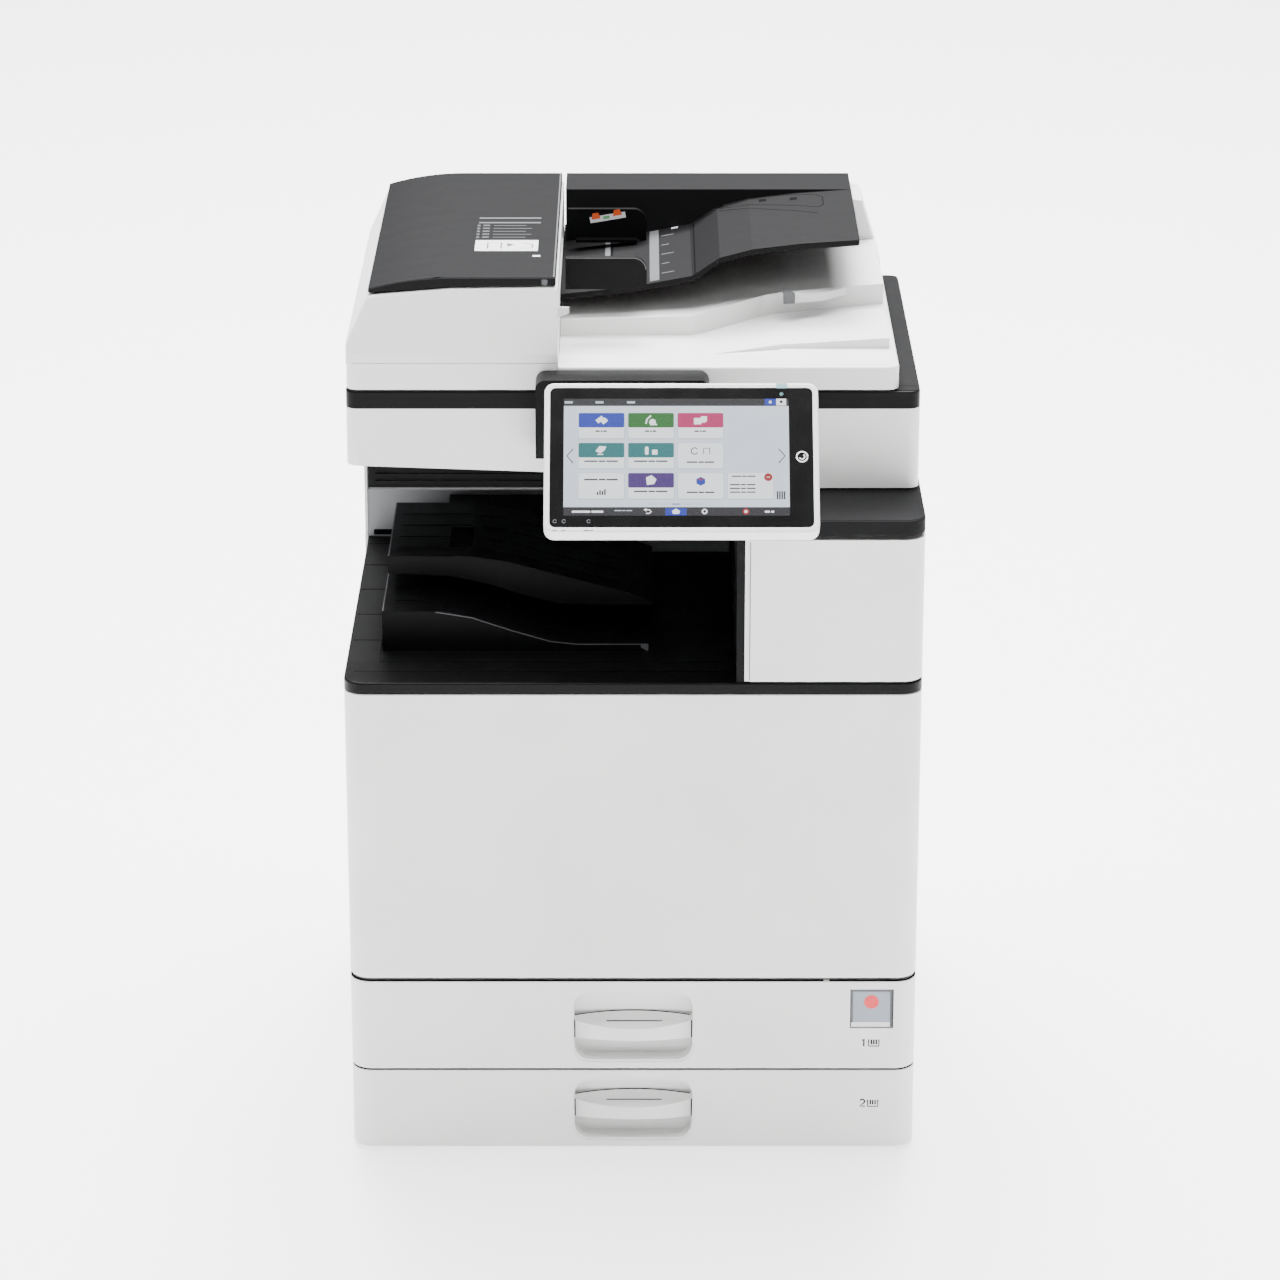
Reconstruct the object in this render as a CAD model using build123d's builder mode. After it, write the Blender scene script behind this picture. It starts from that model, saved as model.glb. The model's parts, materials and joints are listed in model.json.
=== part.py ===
from build123d import *
import os

os.makedirs("parts", exist_ok=True)

# A floor-standing office photocopier. Millimetres, +Z up, front towards -Y.
# The origin is on the floor, under the centre of the whole machine's box.

# ---- driving dimensions ----
WIDTH = 587.0
DEPTH = 685.0
HEIGHT = 913.0
HALF = WIDTH / 2
PANEL_REACH = 86.0  # how far the operation panel stands out in front of the body
FRONT = PANEL_REACH - DEPTH / 2  # front plane of the lower body
BODY_DEPTH = DEPTH - PANEL_REACH
CORNER = 22.0  # rounding of the body's front vertical corners
WRAP = 24.0  # how far doors and drawer fronts reach round the corners
SKIN = 3.0  # wall of a moulded cover
SHEET = 2.0  # folded sheet steel
GAP = 1.5  # reveal between neighbouring covers

FOOT_TOP = 8.0
DRAWER_FRONT_Z = {1: (94.0, 193.0), 2: (4.0, 92.5)}
DRAWER_TRAVEL = 420.0
DOOR_Z = (195.0, 509.5)
LIP_Z = (511.0, 522.0)
WING_Z = (523.5, 674.0)
WING_X = 112.6  # left edge of the right-hand wing
WING_CAP_Z = (679.0, 694.0)
EXIT_BACK = 416.0  # depth of the paper exit space
COVER_TOP = 690.0

SCANNER_X = 291.0
SCANNER_FRONT = 100.0
SCANNER_BACK = 550.0
SCANNER_Z = (697.0, 781.0)
SCANNER_FRAME_TOP = 799.0

FEEDER_X = (-290.0, 269.0)
FEEDER_FRONT = 100.0
FEEDER_BACK = 554.0
FEEDER_Z = (801.0, 829.0)
HUMP_RIGHT = -76.0  # right end of the feeder's closed left part

PANEL_SIZE = (271.0, 161.0, 24.0)
PANEL_CENTRE = (48.0, -34.22, 772.0)  # x, depth behind the front plane, height
PANEL_SLOPE = 41.0  # degrees that the face leans back from upright


# ---- helpers ----
def behind(depth):
    """The y of a point that lies this far behind the body's front plane."""
    return FRONT + depth


def block(x, d, z, mode=Mode.ADD):
    """A box between two x values, two depths behind the front plane and two heights."""
    with Locations((x[0], behind(d[0]), z[0])):
        corner = (Align.MIN, Align.MIN, Align.MIN)
        Box(x[1] - x[0], d[1] - d[0], z[1] - z[0], align=corner, mode=mode)


def bar_x(x, depth, z, radius, mode=Mode.ADD):
    """A round bar along X between two x values."""
    centre = Plane(origin=(x[0], behind(depth), z), z_dir=(1, 0, 0))
    with BuildSketch(centre) as disc:
        Circle(radius)
    extrude(disc.sketch, amount=x[1] - x[0], mode=mode)


def bar_y(x, d, z, radius, mode=Mode.ADD):
    """A round bar along Y between two depths."""
    centre = Plane(origin=(x, behind(d[0]), z), z_dir=(0, 1, 0))
    with BuildSketch(centre) as disc:
        Circle(radius)
    extrude(disc.sketch, amount=d[1] - d[0], mode=mode)


def front_slab(z, depth, inset=0.0, x=(-HALF, HALF), round_left=True, mode=Mode.ADD):
    """A slab behind the front plane whose front vertical corners are rounded."""
    left = x[0] + inset
    right = x[1] - inset
    with BuildSketch(Plane.XY.offset(z[0])) as plan:
        with Locations(((left + right) / 2, behind((depth + inset) / 2))):
            Rectangle(right - left, depth - inset)
        front_corners = plan.vertices().group_by(Axis.Y)[0].sort_by(Axis.X)
        fillet(front_corners if round_left else front_corners[-1], CORNER - inset)
    extrude(plan.sketch, amount=z[1] - z[0], mode=mode)


def along_y(points, d, mode=Mode.ADD):
    """A prism along Y from an outline of (x, z) points."""
    with BuildSketch(Plane(origin=(0, behind(d[1]), 0), x_dir=(1, 0, 0), z_dir=(0, -1, 0))) as section:
        with BuildLine():
            Polyline(*points, close=True)
        make_face()
    extrude(section.sketch, amount=d[1] - d[0], mode=mode)


def along_x(points, x, mode=Mode.ADD):
    """A prism along X from an outline of (depth, z) points."""
    with BuildSketch(Plane(origin=(x[0], FRONT, 0), x_dir=(0, 1, 0), z_dir=(1, 0, 0))) as section:
        with BuildLine():
            Polyline(*points, close=True)
        make_face()
    extrude(section.sketch, amount=x[1] - x[0], mode=mode)


# ---- steel frame ----
FRAME_X = 284.0
FRAME_FRONT = 30.0
FRAME_BACK = 570.0
FRAME_TOP = 511.0
REAR_FRAME_TOP = 678.0
BASE_TOP = FOOT_TOP + 3.0
ENGINE_FLOOR = 196.0
BOTTLE_AXIS = (-175.0, 425.0)  # x and height of the toner bottle's axis
SPIGOT = 10.0  # radius of the bottle's driven end

with BuildPart() as base_plate:
    block((-FRAME_X - SHEET, FRAME_X + SHEET), (FRAME_FRONT, FRAME_BACK + SHEET), (FOOT_TOP, BASE_TOP))
base_plate.part.label = "base_plate"
export_step(base_plate.part, "parts/base_plate.step")

FOOT_SIZE = (56.0, 40.0)
FOOT_PLACES = (508.0, 500.0)  # spacing of the four feet

with BuildPart() as feet:
    with BuildSketch(Plane.XY) as pads:
        with Locations((0, behind((FRAME_FRONT + FRAME_BACK) / 2))):
            with GridLocations(FOOT_PLACES[0], FOOT_PLACES[1], 2, 2):
                RectangleRounded(FOOT_SIZE[0], FOOT_SIZE[1], 8)
    extrude(amount=FOOT_TOP)
    chamfer(feet.faces().filter_by(Axis.Z).group_by(Axis.Z)[0].edges(), 1)
feet.part.label = "feet"
export_step(feet.part, "parts/feet.step")

with BuildPart() as left_frame:
    block((-FRAME_X - SHEET, -FRAME_X), (FRAME_FRONT, FRAME_BACK), (BASE_TOP, FRAME_TOP))
left_frame.part.label = "left_frame"
export_step(left_frame.part, "parts/left_frame.step")

SIDE_DOOR_D = (60.0, 520.0)
SIDE_DOOR_Z = (206.0, 500.0)

with BuildPart() as right_frame:
    block((FRAME_X, FRAME_X + SHEET), (FRAME_FRONT, FRAME_BACK), (BASE_TOP, FRAME_TOP))
    window_d = (SIDE_DOOR_D[0] - 6, SIDE_DOOR_D[1] + 6)
    window_z = (SIDE_DOOR_Z[0] - 6, SIDE_DOOR_Z[1] + 4)
    block((FRAME_X, FRAME_X + SHEET), window_d, window_z, mode=Mode.SUBTRACT)
right_frame.part.label = "right_frame"
export_step(right_frame.part, "parts/right_frame.step")

with BuildPart() as rear_frame:
    block((-FRAME_X - SHEET, FRAME_X + SHEET), (FRAME_BACK, FRAME_BACK + SHEET), (BASE_TOP, REAR_FRAME_TOP))
    bar_y(BOTTLE_AXIS[0], (FRAME_BACK, FRAME_BACK + SHEET), BOTTLE_AXIS[1], SPIGOT + 0.05, mode=Mode.SUBTRACT)
rear_frame.part.label = "rear_frame"
export_step(rear_frame.part, "parts/rear_frame.step")

with BuildPart() as engine_floor:
    block((-FRAME_X, FRAME_X), (FRAME_FRONT + 6, FRAME_BACK), (ENGINE_FLOOR, ENGINE_FLOOR + SHEET))
engine_floor.part.label = "engine_floor"
export_step(engine_floor.part, "parts/engine_floor.step")

# ---- drawers ----
TRAY_X = (-240.0, 216.0)
TRAY_D = (WRAP, 540.0)
RAIL_D = (50.0, 560.0)
BAY_FLOORS = {1: 97.0, 2: BASE_TOP}
HANDLE_HALF = 64.0
HANDLE_DEPTH = 23.0
GRIP_HALF = 62.0
GRIP_BROW = 12.0  # height of the grip's front edge at its middle
SWITCH_X = (225.0, 270.0)
SWITCH_Z = (140.0, 184.0)

with BuildPart() as drawer_rails:
    for floor in BAY_FLOORS.values():
        for wall_x, inner_x in ((-FRAME_X, TRAY_X[0] - 2), (FRAME_X, TRAY_X[1] + 2)):
            shelf = sorted((wall_x, inner_x))
            upright = sorted((inner_x, inner_x + (SKIN if wall_x > 0 else -SKIN)))
            block(shelf, RAIL_D, (floor, floor + 5))
            block(upright, RAIL_D, (floor, floor + 24))
drawer_rails.part.label = "drawer_rails"
export_step(drawer_rails.part, "parts/drawer_rails.step")


def drawer_parts(number):
    """Front, handle and tray of one paper drawer."""
    front_z = DRAWER_FRONT_Z[number]
    recess_z = (front_z[0] + 7.5, front_z[1] - 9.0)
    grip_z = (recess_z[0] + 23.5, recess_z[0] + 50.5)

    with BuildPart() as front:
        front_slab(front_z, WRAP)
        outer = front.faces().sort_by(Axis.Y)[0].edges().filter_by(Axis.X)
        fillet(outer, 1.5)
        front_slab((front_z[0] + SKIN, front_z[1] - SKIN), WRAP, inset=SKIN, mode=Mode.SUBTRACT)
        centre_z = sum(recess_z) / 2
        mouth = Plane(origin=(0, behind(WRAP), centre_z), x_dir=(1, 0, 0), z_dir=(0, -1, 0))
        with BuildSketch(mouth) as hole:
            RectangleRounded(2 * HANDLE_HALF, recess_z[1] - recess_z[0], 20)
        extrude(hole.sketch, amount=WRAP, mode=Mode.SUBTRACT)
        if number == 1:
            block(SWITCH_X, (-1, WRAP), SWITCH_Z, mode=Mode.SUBTRACT)
    front.part.label = f"drawer_{number}_front"
    export_step(front.part, f"parts/drawer_{number}_front.step")

    with BuildPart() as handle:
        with BuildSketch(mouth) as shell:
            RectangleRounded(2 * HANDLE_HALF, recess_z[1] - recess_z[0], 20)
        extrude(shell.sketch, amount=HANDLE_DEPTH)
        with BuildSketch(mouth) as hollow:
            RectangleRounded(2 * HANDLE_HALF - 5, recess_z[1] - recess_z[0] - 5, 17.5)
        extrude(hollow.sketch, amount=HANDLE_DEPTH, mode=Mode.SUBTRACT)
        with BuildSketch(mouth) as back:
            RectangleRounded(2 * HANDLE_HALF, recess_z[1] - recess_z[0], 20)
        extrude(back.sketch, amount=2.5)
        with BuildSketch(Plane.XY.offset(grip_z[0])) as bow:
            with BuildLine():
                front_bow = ThreePointArc((-GRIP_HALF, behind(11)), (0, behind(1.5)), (GRIP_HALF, behind(11)))
                Line(front_bow @ 1, (GRIP_HALF, behind(16)))
                back_bow = ThreePointArc((GRIP_HALF, behind(16)), (0, behind(21)), (-GRIP_HALF, behind(16)))
                Line(back_bow @ 1, front_bow @ 0)
            make_face()
        extrude(bow.sketch, amount=grip_z[1] - grip_z[0])
        # the grip's top slopes down to a low front edge, and its underside is hollow for fingers
        crest = (21, grip_z[1])
        brow = (0, grip_z[0] + GRIP_BROW)
        along_x([brow, crest, (0, grip_z[1])], (-GRIP_HALF, GRIP_HALF), mode=Mode.SUBTRACT)
        hollow = [(9, grip_z[0]), (9, grip_z[0] + 14), (18, grip_z[0] + 20), (18, grip_z[0])]
        along_x(hollow, (-38, 38), mode=Mode.SUBTRACT)
    handle.part.label = f"drawer_{number}_handle"
    export_step(handle.part, f"parts/drawer_{number}_handle.step")

    tray_z = (BAY_FLOORS[number] + 3, BAY_FLOORS[number] + 70)
    with BuildPart() as tray:
        block(TRAY_X, TRAY_D, tray_z)
        inner_x = (TRAY_X[0] + SKIN, TRAY_X[1] - SKIN)
        inner_d = (TRAY_D[0] + SKIN, TRAY_D[1] - SKIN)
        block(inner_x, inner_d, (tray_z[0] + SKIN, tray_z[1]), mode=Mode.SUBTRACT)
    tray.part.label = f"drawer_{number}_tray"
    export_step(tray.part, f"parts/drawer_{number}_tray.step")


drawer_parts(1)
drawer_parts(2)

# ---- main power switch, behind a window in the upper drawer's front ----
with BuildPart() as switch_box:
    box_z = (SWITCH_Z[0] + 1, SWITCH_Z[1] - 1)
    well_z = (SWITCH_Z[0] + SKIN, SWITCH_Z[1] - SKIN)
    block((SWITCH_X[0] + 1, SWITCH_X[1] - 1), (4, 20), box_z)
    block((SWITCH_X[0] + SKIN, SWITCH_X[1] - SKIN), (4, 18), well_z, mode=Mode.SUBTRACT)
    block((SWITCH_X[0] + 1, FRAME_X), (20, 23), box_z)
    block((FRAME_X - SKIN, FRAME_X), (23, 60), box_z)
switch_box.part.label = "switch_box"
export_step(switch_box.part, "parts/switch_box.step")

BUTTON_CENTRE = (247.0, 168.0)
BUTTON_RADIUS = 9.0

with BuildPart() as power_button:
    bar_y(BUTTON_CENTRE[0], (8, 15.5), BUTTON_CENTRE[1], BUTTON_RADIUS)
    fillet(power_button.edges().filter_by(GeomType.CIRCLE).sort_by(Axis.Y)[0], 2)
power_button.part.label = "power_button"
export_step(power_button.part, "parts/power_button.step")

with BuildPart() as power_flap:
    block((SWITCH_X[0] + 1, SWITCH_X[1] - 1), (1.2, 3.2), (SWITCH_Z[0] + 1, SWITCH_Z[1] - 1.2))
    fillet(power_flap.edges().filter_by(Axis.Y), 1)
power_flap.part.label = "power_flap"
export_step(power_flap.part, "parts/power_flap.step")

# ---- outer covers ----
with BuildPart() as left_cover:
    along_x(
        [
            (WRAP + GAP, FOOT_TOP),
            (BODY_DEPTH - 16, FOOT_TOP),
            (BODY_DEPTH - 16, COVER_TOP),
            (EXIT_BACK + 4, COVER_TOP),
            (EXIT_BACK + 4, LIP_Z[1] + 20),
            (EXIT_BACK, LIP_Z[1] + 20),
            (EXIT_BACK, LIP_Z[0] - 1),
            (WRAP + GAP, LIP_Z[0] - 1),
        ],
        (-HALF, -HALF + SKIN),
    )
    for grip_d in ((120, 220), (420, 520)):
        block((-HALF, -HALF + 1.2), grip_d, (300, 330), mode=Mode.SUBTRACT)
left_cover.part.label = "left_cover"
export_step(left_cover.part, "parts/left_cover.step")

with BuildPart() as right_cover:
    block((HALF - SKIN, HALF), (WRAP + GAP, BODY_DEPTH - 16), (FOOT_TOP, LIP_Z[0] - 1))
    window_d = (SIDE_DOOR_D[0] - GAP, SIDE_DOOR_D[1] + GAP)
    window_z = (SIDE_DOOR_Z[0] - 4, SIDE_DOOR_Z[1] + GAP)
    block((HALF - SKIN, HALF), window_d, window_z, mode=Mode.SUBTRACT)
right_cover.part.label = "right_cover"
export_step(right_cover.part, "parts/right_cover.step")

LOUVRE_ROWS = 9
INLET_PLACE = (-215.0, 80.0)  # x and z of the mains inlet
INLET_SIZE = (50.0, 30.0)

with BuildPart() as rear_cover:
    block((-HALF, HALF), (BODY_DEPTH - 15, BODY_DEPTH), (FOOT_TOP, COVER_TOP))
    fillet(rear_cover.edges().filter_by(Axis.Z).group_by(Axis.Y)[-1], 8)
    inside = (-HALF + SKIN, HALF - SKIN)
    inside_z = (FOOT_TOP + SKIN, COVER_TOP - SKIN)
    block(inside, (BODY_DEPTH - 15, BODY_DEPTH - SKIN), inside_z, mode=Mode.SUBTRACT)
    rear_face = Plane(origin=(0, behind(BODY_DEPTH), 0), x_dir=(-1, 0, 0), z_dir=(0, 1, 0))
    with BuildSketch(rear_face) as louvres:
        with Locations((150, 420), (-150, 420)):
            with GridLocations(1, 12, 1, LOUVRE_ROWS):
                SlotOverall(120, 5)
        with Locations((-INLET_PLACE[0], INLET_PLACE[1])):
            Rectangle(INLET_SIZE[0], INLET_SIZE[1])
    extrude(louvres.sketch, amount=-SKIN, mode=Mode.SUBTRACT)
rear_cover.part.label = "rear_cover"
export_step(rear_cover.part, "parts/rear_cover.step")

with BuildPart() as power_inlet:
    inlet_x = (INLET_PLACE[0] - INLET_SIZE[0] / 2, INLET_PLACE[0] + INLET_SIZE[0] / 2)
    inlet_z = (INLET_PLACE[1] - INLET_SIZE[1] / 2, INLET_PLACE[1] + INLET_SIZE[1] / 2)
    block(inlet_x, (FRAME_BACK + SHEET, BODY_DEPTH), inlet_z)
    fillet(power_inlet.edges().filter_by(Axis.Y), 2)
    block(
        (INLET_PLACE[0] - 12.2, INLET_PLACE[0] + 12.2),
        (BODY_DEPTH - 18, BODY_DEPTH),
        (INLET_PLACE[1] - 8.2, INLET_PLACE[1] + 8.2),
        mode=Mode.SUBTRACT,
    )
    for pin_x, pin_z in ((-7, -2), (7, -2), (0, 2)):
        pin = (INLET_PLACE[0] + pin_x, INLET_PLACE[1] + pin_z)
        block((pin[0] - 1, pin[0] + 1), (BODY_DEPTH - 18, BODY_DEPTH - 8), (pin[1] - 2, pin[1] + 2))
power_inlet.part.label = "power_inlet"
export_step(power_inlet.part, "parts/power_inlet.step")

# ---- front door ----
HINGE_DEPTH = 6.0
DOOR_AXIS = (HINGE_DEPTH, DOOR_Z[0] + HINGE_DEPTH)
PIN_RADIUS = 2.5
PIN_X = (248.0, 258.0)
BRACKET_X = (258.0, 265.0)

with BuildPart() as front_door:
    front_slab(DOOR_Z, WRAP)
    fillet(front_door.faces().sort_by(Axis.Z)[0].edges().group_by(Axis.Y)[0], HINGE_DEPTH - 0.5)
    fillet(front_door.faces().sort_by(Axis.Z)[-1].edges().group_by(Axis.Y)[0], 1.5)
    front_slab((DOOR_Z[0] + SKIN, DOOR_Z[1] - SKIN), WRAP, inset=SKIN, mode=Mode.SUBTRACT)
    for side in (-1, 1):
        notch_x = sorted((side * (BRACKET_X[0] - 1.3), side * (BRACKET_X[1] + 1.3)))
        block(notch_x, (SKIN, WRAP), (DOOR_Z[0], DOOR_Z[0] + SKIN), mode=Mode.SUBTRACT)
front_door.part.label = "front_door"
export_step(front_door.part, "parts/front_door.step")

with BuildPart() as door_liner:
    block((-HALF + 7, HALF - 7), (WRAP - 5, WRAP - 2.5), (DOOR_Z[0] + 16, DOOR_Z[1] - SKIN))
    for side in (-1, 1):
        lug_x = sorted((side * 250, side * 256))
        block(lug_x, (SKIN, WRAP - 5), (DOOR_Z[0] + SKIN, DOOR_Z[0] + 30))
        bar_x(lug_x, DOOR_AXIS[0], DOOR_AXIS[1], PIN_RADIUS + 0.05, mode=Mode.SUBTRACT)
door_liner.part.label = "door_liner"
export_step(door_liner.part, "parts/door_liner.step")

with BuildPart() as door_hinges:
    for side in (-1, 1):
        bracket_x = sorted((side * BRACKET_X[0], side * BRACKET_X[1]))
        block(bracket_x, (4, 40), (199.5, 207))
        block(bracket_x, (FRAME_FRONT + 6, 52), (ENGINE_FLOOR + SHEET, 207))
        bar_x(sorted((side * PIN_X[0], side * PIN_X[1])), DOOR_AXIS[0], DOOR_AXIS[1], PIN_RADIUS)
door_hinges.part.label = "door_hinges"
export_step(door_hinges.part, "parts/door_hinges.step")

# ---- print engine behind the door ----
BOTTLE_RADIUS = 46.0
BOTTLE_D = (40.0, 440.0)

DRUM_AXIS = (70.0, 330.0)
DRUM_RADIUS = 15.0
FUSER_AXIS = (176.0, 452.0)
FUSER_RADIUS = 17.5
NIP_GAP = 0.6  # clear space between two rollers that run together
ROLLER_D = (70.0, 430.0)

with BuildPart() as inner_cover:
    block((-FRAME_X + 1, FRAME_X - 1), (FRAME_FRONT, FRAME_FRONT + SKIN), (208, DOOR_Z[1] - 3.5))
    cover_d = (FRAME_FRONT, FRAME_FRONT + SKIN)
    bar_y(BOTTLE_AXIS[0], cover_d, BOTTLE_AXIS[1], BOTTLE_RADIUS + 6, mode=Mode.SUBTRACT)
    block((-60, 110), cover_d, (285, 385), mode=Mode.SUBTRACT)
inner_cover.part.label = "inner_cover"
export_step(inner_cover.part, "parts/inner_cover.step")

with BuildPart() as toner_bottle:
    bar_y(BOTTLE_AXIS[0], BOTTLE_D, BOTTLE_AXIS[1], BOTTLE_RADIUS)
    fillet(toner_bottle.edges().filter_by(GeomType.CIRCLE), 4)
    bar_y(BOTTLE_AXIS[0], (BOTTLE_D[1], FRAME_BACK + 5), BOTTLE_AXIS[1], SPIGOT)
    for ring in range(8):
        start = BOTTLE_D[0] + 60 + 42 * ring
        hoop = (start, start + 7)
        bar_y(BOTTLE_AXIS[0], hoop, BOTTLE_AXIS[1], BOTTLE_RADIUS + 1.5)
    grip_d = (FRAME_FRONT - 2, BOTTLE_D[0])
    block((BOTTLE_AXIS[0] - 24, BOTTLE_AXIS[0] + 24), grip_d, (BOTTLE_AXIS[1] - 5, BOTTLE_AXIS[1] + 5))
toner_bottle.part.label = "toner_bottle"
export_step(toner_bottle.part, "parts/toner_bottle.step")

with BuildPart() as drum_unit:
    block((-52, DRUM_AXIS[0] - DRUM_RADIUS - 2), (FRAME_FRONT + 2, 520), (292, 378))
    for rail_x in ((-52, -40), (5, 17)):
        block(rail_x, (130, 450), (268, 292))
    for plate_d in ((50, 56), (514, 520)):
        block((DRUM_AXIS[0] - DRUM_RADIUS - 2, 100), plate_d, (300, 370))
        bar_y(DRUM_AXIS[0], plate_d, DRUM_AXIS[1], 5.05, mode=Mode.SUBTRACT)
drum_unit.part.label = "drum_unit"
export_step(drum_unit.part, "parts/drum_unit.step")

with BuildPart() as photo_drum:
    bar_y(DRUM_AXIS[0], (60, 510), DRUM_AXIS[1], DRUM_RADIUS)
    bar_y(DRUM_AXIS[0], (50, 520), DRUM_AXIS[1], 5)
photo_drum.part.label = "photo_drum"
export_step(photo_drum.part, "parts/photo_drum.step")

PRESSURE_X = FUSER_AXIS[0] + 2 * FUSER_RADIUS + NIP_GAP
FUSER_X = (150.0, 240.0)
FUSER_D = (58.0, 442.0)
FUSER_Z = (415.0, 490.0)
HOT_SHAFT = 6.0

with BuildPart() as fuser_frame:
    for plate_d in ((FUSER_D[0], FUSER_D[0] + 6), (FUSER_D[1] - 6, FUSER_D[1])):
        block(FUSER_X, plate_d, FUSER_Z)
        for roller_x in (FUSER_AXIS[0], PRESSURE_X):
            bar_y(roller_x, plate_d, FUSER_AXIS[1], HOT_SHAFT + 0.05, mode=Mode.SUBTRACT)
    for wall_x in ((FUSER_X[0], FUSER_X[0] + 4), (FUSER_X[1] - 4, FUSER_X[1])):
        block(wall_x, (FUSER_D[0] + 6, FUSER_D[1] - 6), FUSER_Z)
    block(FUSER_X, (FUSER_D[1], FRAME_BACK), (FUSER_Z[0], FUSER_Z[0] + 6))
fuser_frame.part.label = "fuser_frame"
export_step(fuser_frame.part, "parts/fuser_frame.step")

for roller_name, roller_x in (("fuser_roller", FUSER_AXIS[0]), ("pressure_roller", PRESSURE_X)):
    with BuildPart() as hot_roller:
        bar_y(roller_x, ROLLER_D, FUSER_AXIS[1], FUSER_RADIUS)
        bar_y(roller_x, FUSER_D, FUSER_AXIS[1], HOT_SHAFT)
    hot_roller.part.label = roller_name
    export_step(hot_roller.part, f"parts/{roller_name}.step")


def tyre_roller(x, d, z, shaft, tyre, tyres):
    """A steel shaft along Y with evenly spaced rubber tyres."""
    with BuildPart() as roller:
        bar_y(x, d, z, shaft)
        pitch = (d[1] - d[0]) / tyres
        for place in range(tyres):
            middle = d[0] + pitch * (place + 0.5)
            bar_y(x, (middle - 12, middle + 12), z, tyre)
    return roller


with BuildPart() as laser_unit:
    block((-150, 30), (80, 500), (204, 262))
    fillet(laser_unit.edges().filter_by(Axis.Z), 6)
    block((-100, 20), (120, 460), (262, 268))
    block((-150, -120), (80, 110), (ENGINE_FLOOR + SHEET, 204))
    block((0, 30), (470, 500), (ENGINE_FLOOR + SHEET, 204))
laser_unit.part.label = "laser_unit"
export_step(laser_unit.part, "parts/laser_unit.step")

# ---- right side door with its bypass tray ----
SIDE_DOOR_X = (HALF - 16.0, HALF)
BYPASS_D = (110.0, 470.0)
BYPASS_Z = (250.0, 472.0)

with BuildPart() as side_door:
    block(SIDE_DOOR_X, SIDE_DOOR_D, SIDE_DOOR_Z)
    fillet(side_door.faces().sort_by(Axis.Z)[0].edges().filter_by(Axis.Y), 5.5)
    block(
        (SIDE_DOOR_X[0], SIDE_DOOR_X[0] + 5),
        (SIDE_DOOR_D[0] + SKIN, SIDE_DOOR_D[1] - SKIN),
        (SIDE_DOOR_Z[0] + 12, SIDE_DOOR_Z[1] - SKIN),
        mode=Mode.SUBTRACT,
    )
    recess_d = (BYPASS_D[0] - 1, BYPASS_D[1] + 1)
    recess_z = (BYPASS_Z[0] - 4, BYPASS_Z[1] + 1)
    block((HALF - 8, HALF), recess_d, recess_z, mode=Mode.SUBTRACT)
    block((HALF - 8, HALF), (260, 320), (BYPASS_Z[1], BYPASS_Z[1] + 14), mode=Mode.SUBTRACT)
    fillet(side_door.edges().filter_by(Axis.Z).group_by(Axis.X)[-1], 0.8)
side_door.part.label = "side_door"
export_step(side_door.part, "parts/side_door.step")

with BuildPart() as bypass_tray:
    block((HALF - 7, HALF - 0.3), BYPASS_D, BYPASS_Z)
    fillet(bypass_tray.faces().sort_by(Axis.Z)[0].edges().filter_by(Axis.Y), 3)
    dish_d = (BYPASS_D[0] + 20, BYPASS_D[1] - 20)
    dish_z = (BYPASS_Z[0] + 30, BYPASS_Z[1] - 8)
    block((HALF - 7, HALF - 5), dish_d, dish_z, mode=Mode.SUBTRACT)
bypass_tray.part.label = "bypass_tray"
export_step(bypass_tray.part, "parts/bypass_tray.step")

# ---- paper exit space over the engine ----
EXIT_RIGHT = WING_X - 8.0  # the wing's inner wall closes the space here
SUPPORT_FLOOR = 652.0  # underside of the housing over the exit space
SUPPORT_D = (235.0, 555.0)

with BuildPart() as exit_tray_base:
    front_slab(LIP_Z, EXIT_BACK)
    fillet(exit_tray_base.faces().sort_by(Axis.Z)[-1].edges().group_by(Axis.Y)[0], 2)
    block((-HALF + SKIN + GAP, HALF - SKIN - GAP), (EXIT_BACK, FRAME_BACK), LIP_Z)
    front_slab((LIP_Z[0], LIP_Z[1] - SKIN), EXIT_BACK - 4, inset=SKIN + 2, mode=Mode.SUBTRACT)
    along_x([(60, LIP_Z[1]), (EXIT_BACK, LIP_Z[1]), (EXIT_BACK, 540)], (-HALF + 3.5, -260))
exit_tray_base.part.label = "exit_tray_base"
export_step(exit_tray_base.part, "parts/exit_tray_base.step")


def tray_curve(points, left, right, base):
    """Closed outline whose top runs along the points and whose bottom is flat."""
    return [(left, base), (left, points[0][1])] + points + [(right, points[-1][1]), (right, base)]


LOWER_TRAY_X = (-258.0, 16.0)
LOWER_TRAY_FRONT = 96.0
LOWER_TRAY_TOP = [(-193, 565), (-166, 559), (-125, 545), (-85, 533), (-58, 530)]

with BuildPart() as lower_exit_tray:
    along_y(tray_curve(LOWER_TRAY_TOP, *LOWER_TRAY_X, LIP_Z[1]), (LOWER_TRAY_FRONT, EXIT_BACK - 2))
    inner_top = [(x - 1, z - SKIN) for x, z in LOWER_TRAY_TOP]
    hollow_x = (LOWER_TRAY_X[0] + SKIN, LOWER_TRAY_X[1] - SKIN)
    hollow_d = (LOWER_TRAY_FRONT + SKIN, EXIT_BACK - 5)
    along_y(tray_curve(inner_top, *hollow_x, LIP_Z[1]), hollow_d, mode=Mode.SUBTRACT)
lower_exit_tray.part.label = "lower_exit_tray"
export_step(lower_exit_tray.part, "parts/lower_exit_tray.step")

UPPER_TRAY_TOP = [(-255, 600), (-170, 600), (-130, 594), (-86, 582), (-45, 571), (-1, 559), (20, 550)]
UPPER_TRAY_UNDER = [(20, 546), (-75, 547), (-120, 559), (-150, 569), (-190, 578), (-255, 581)]
UPPER_TRAY_D = (170.0, 350.0)

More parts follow.
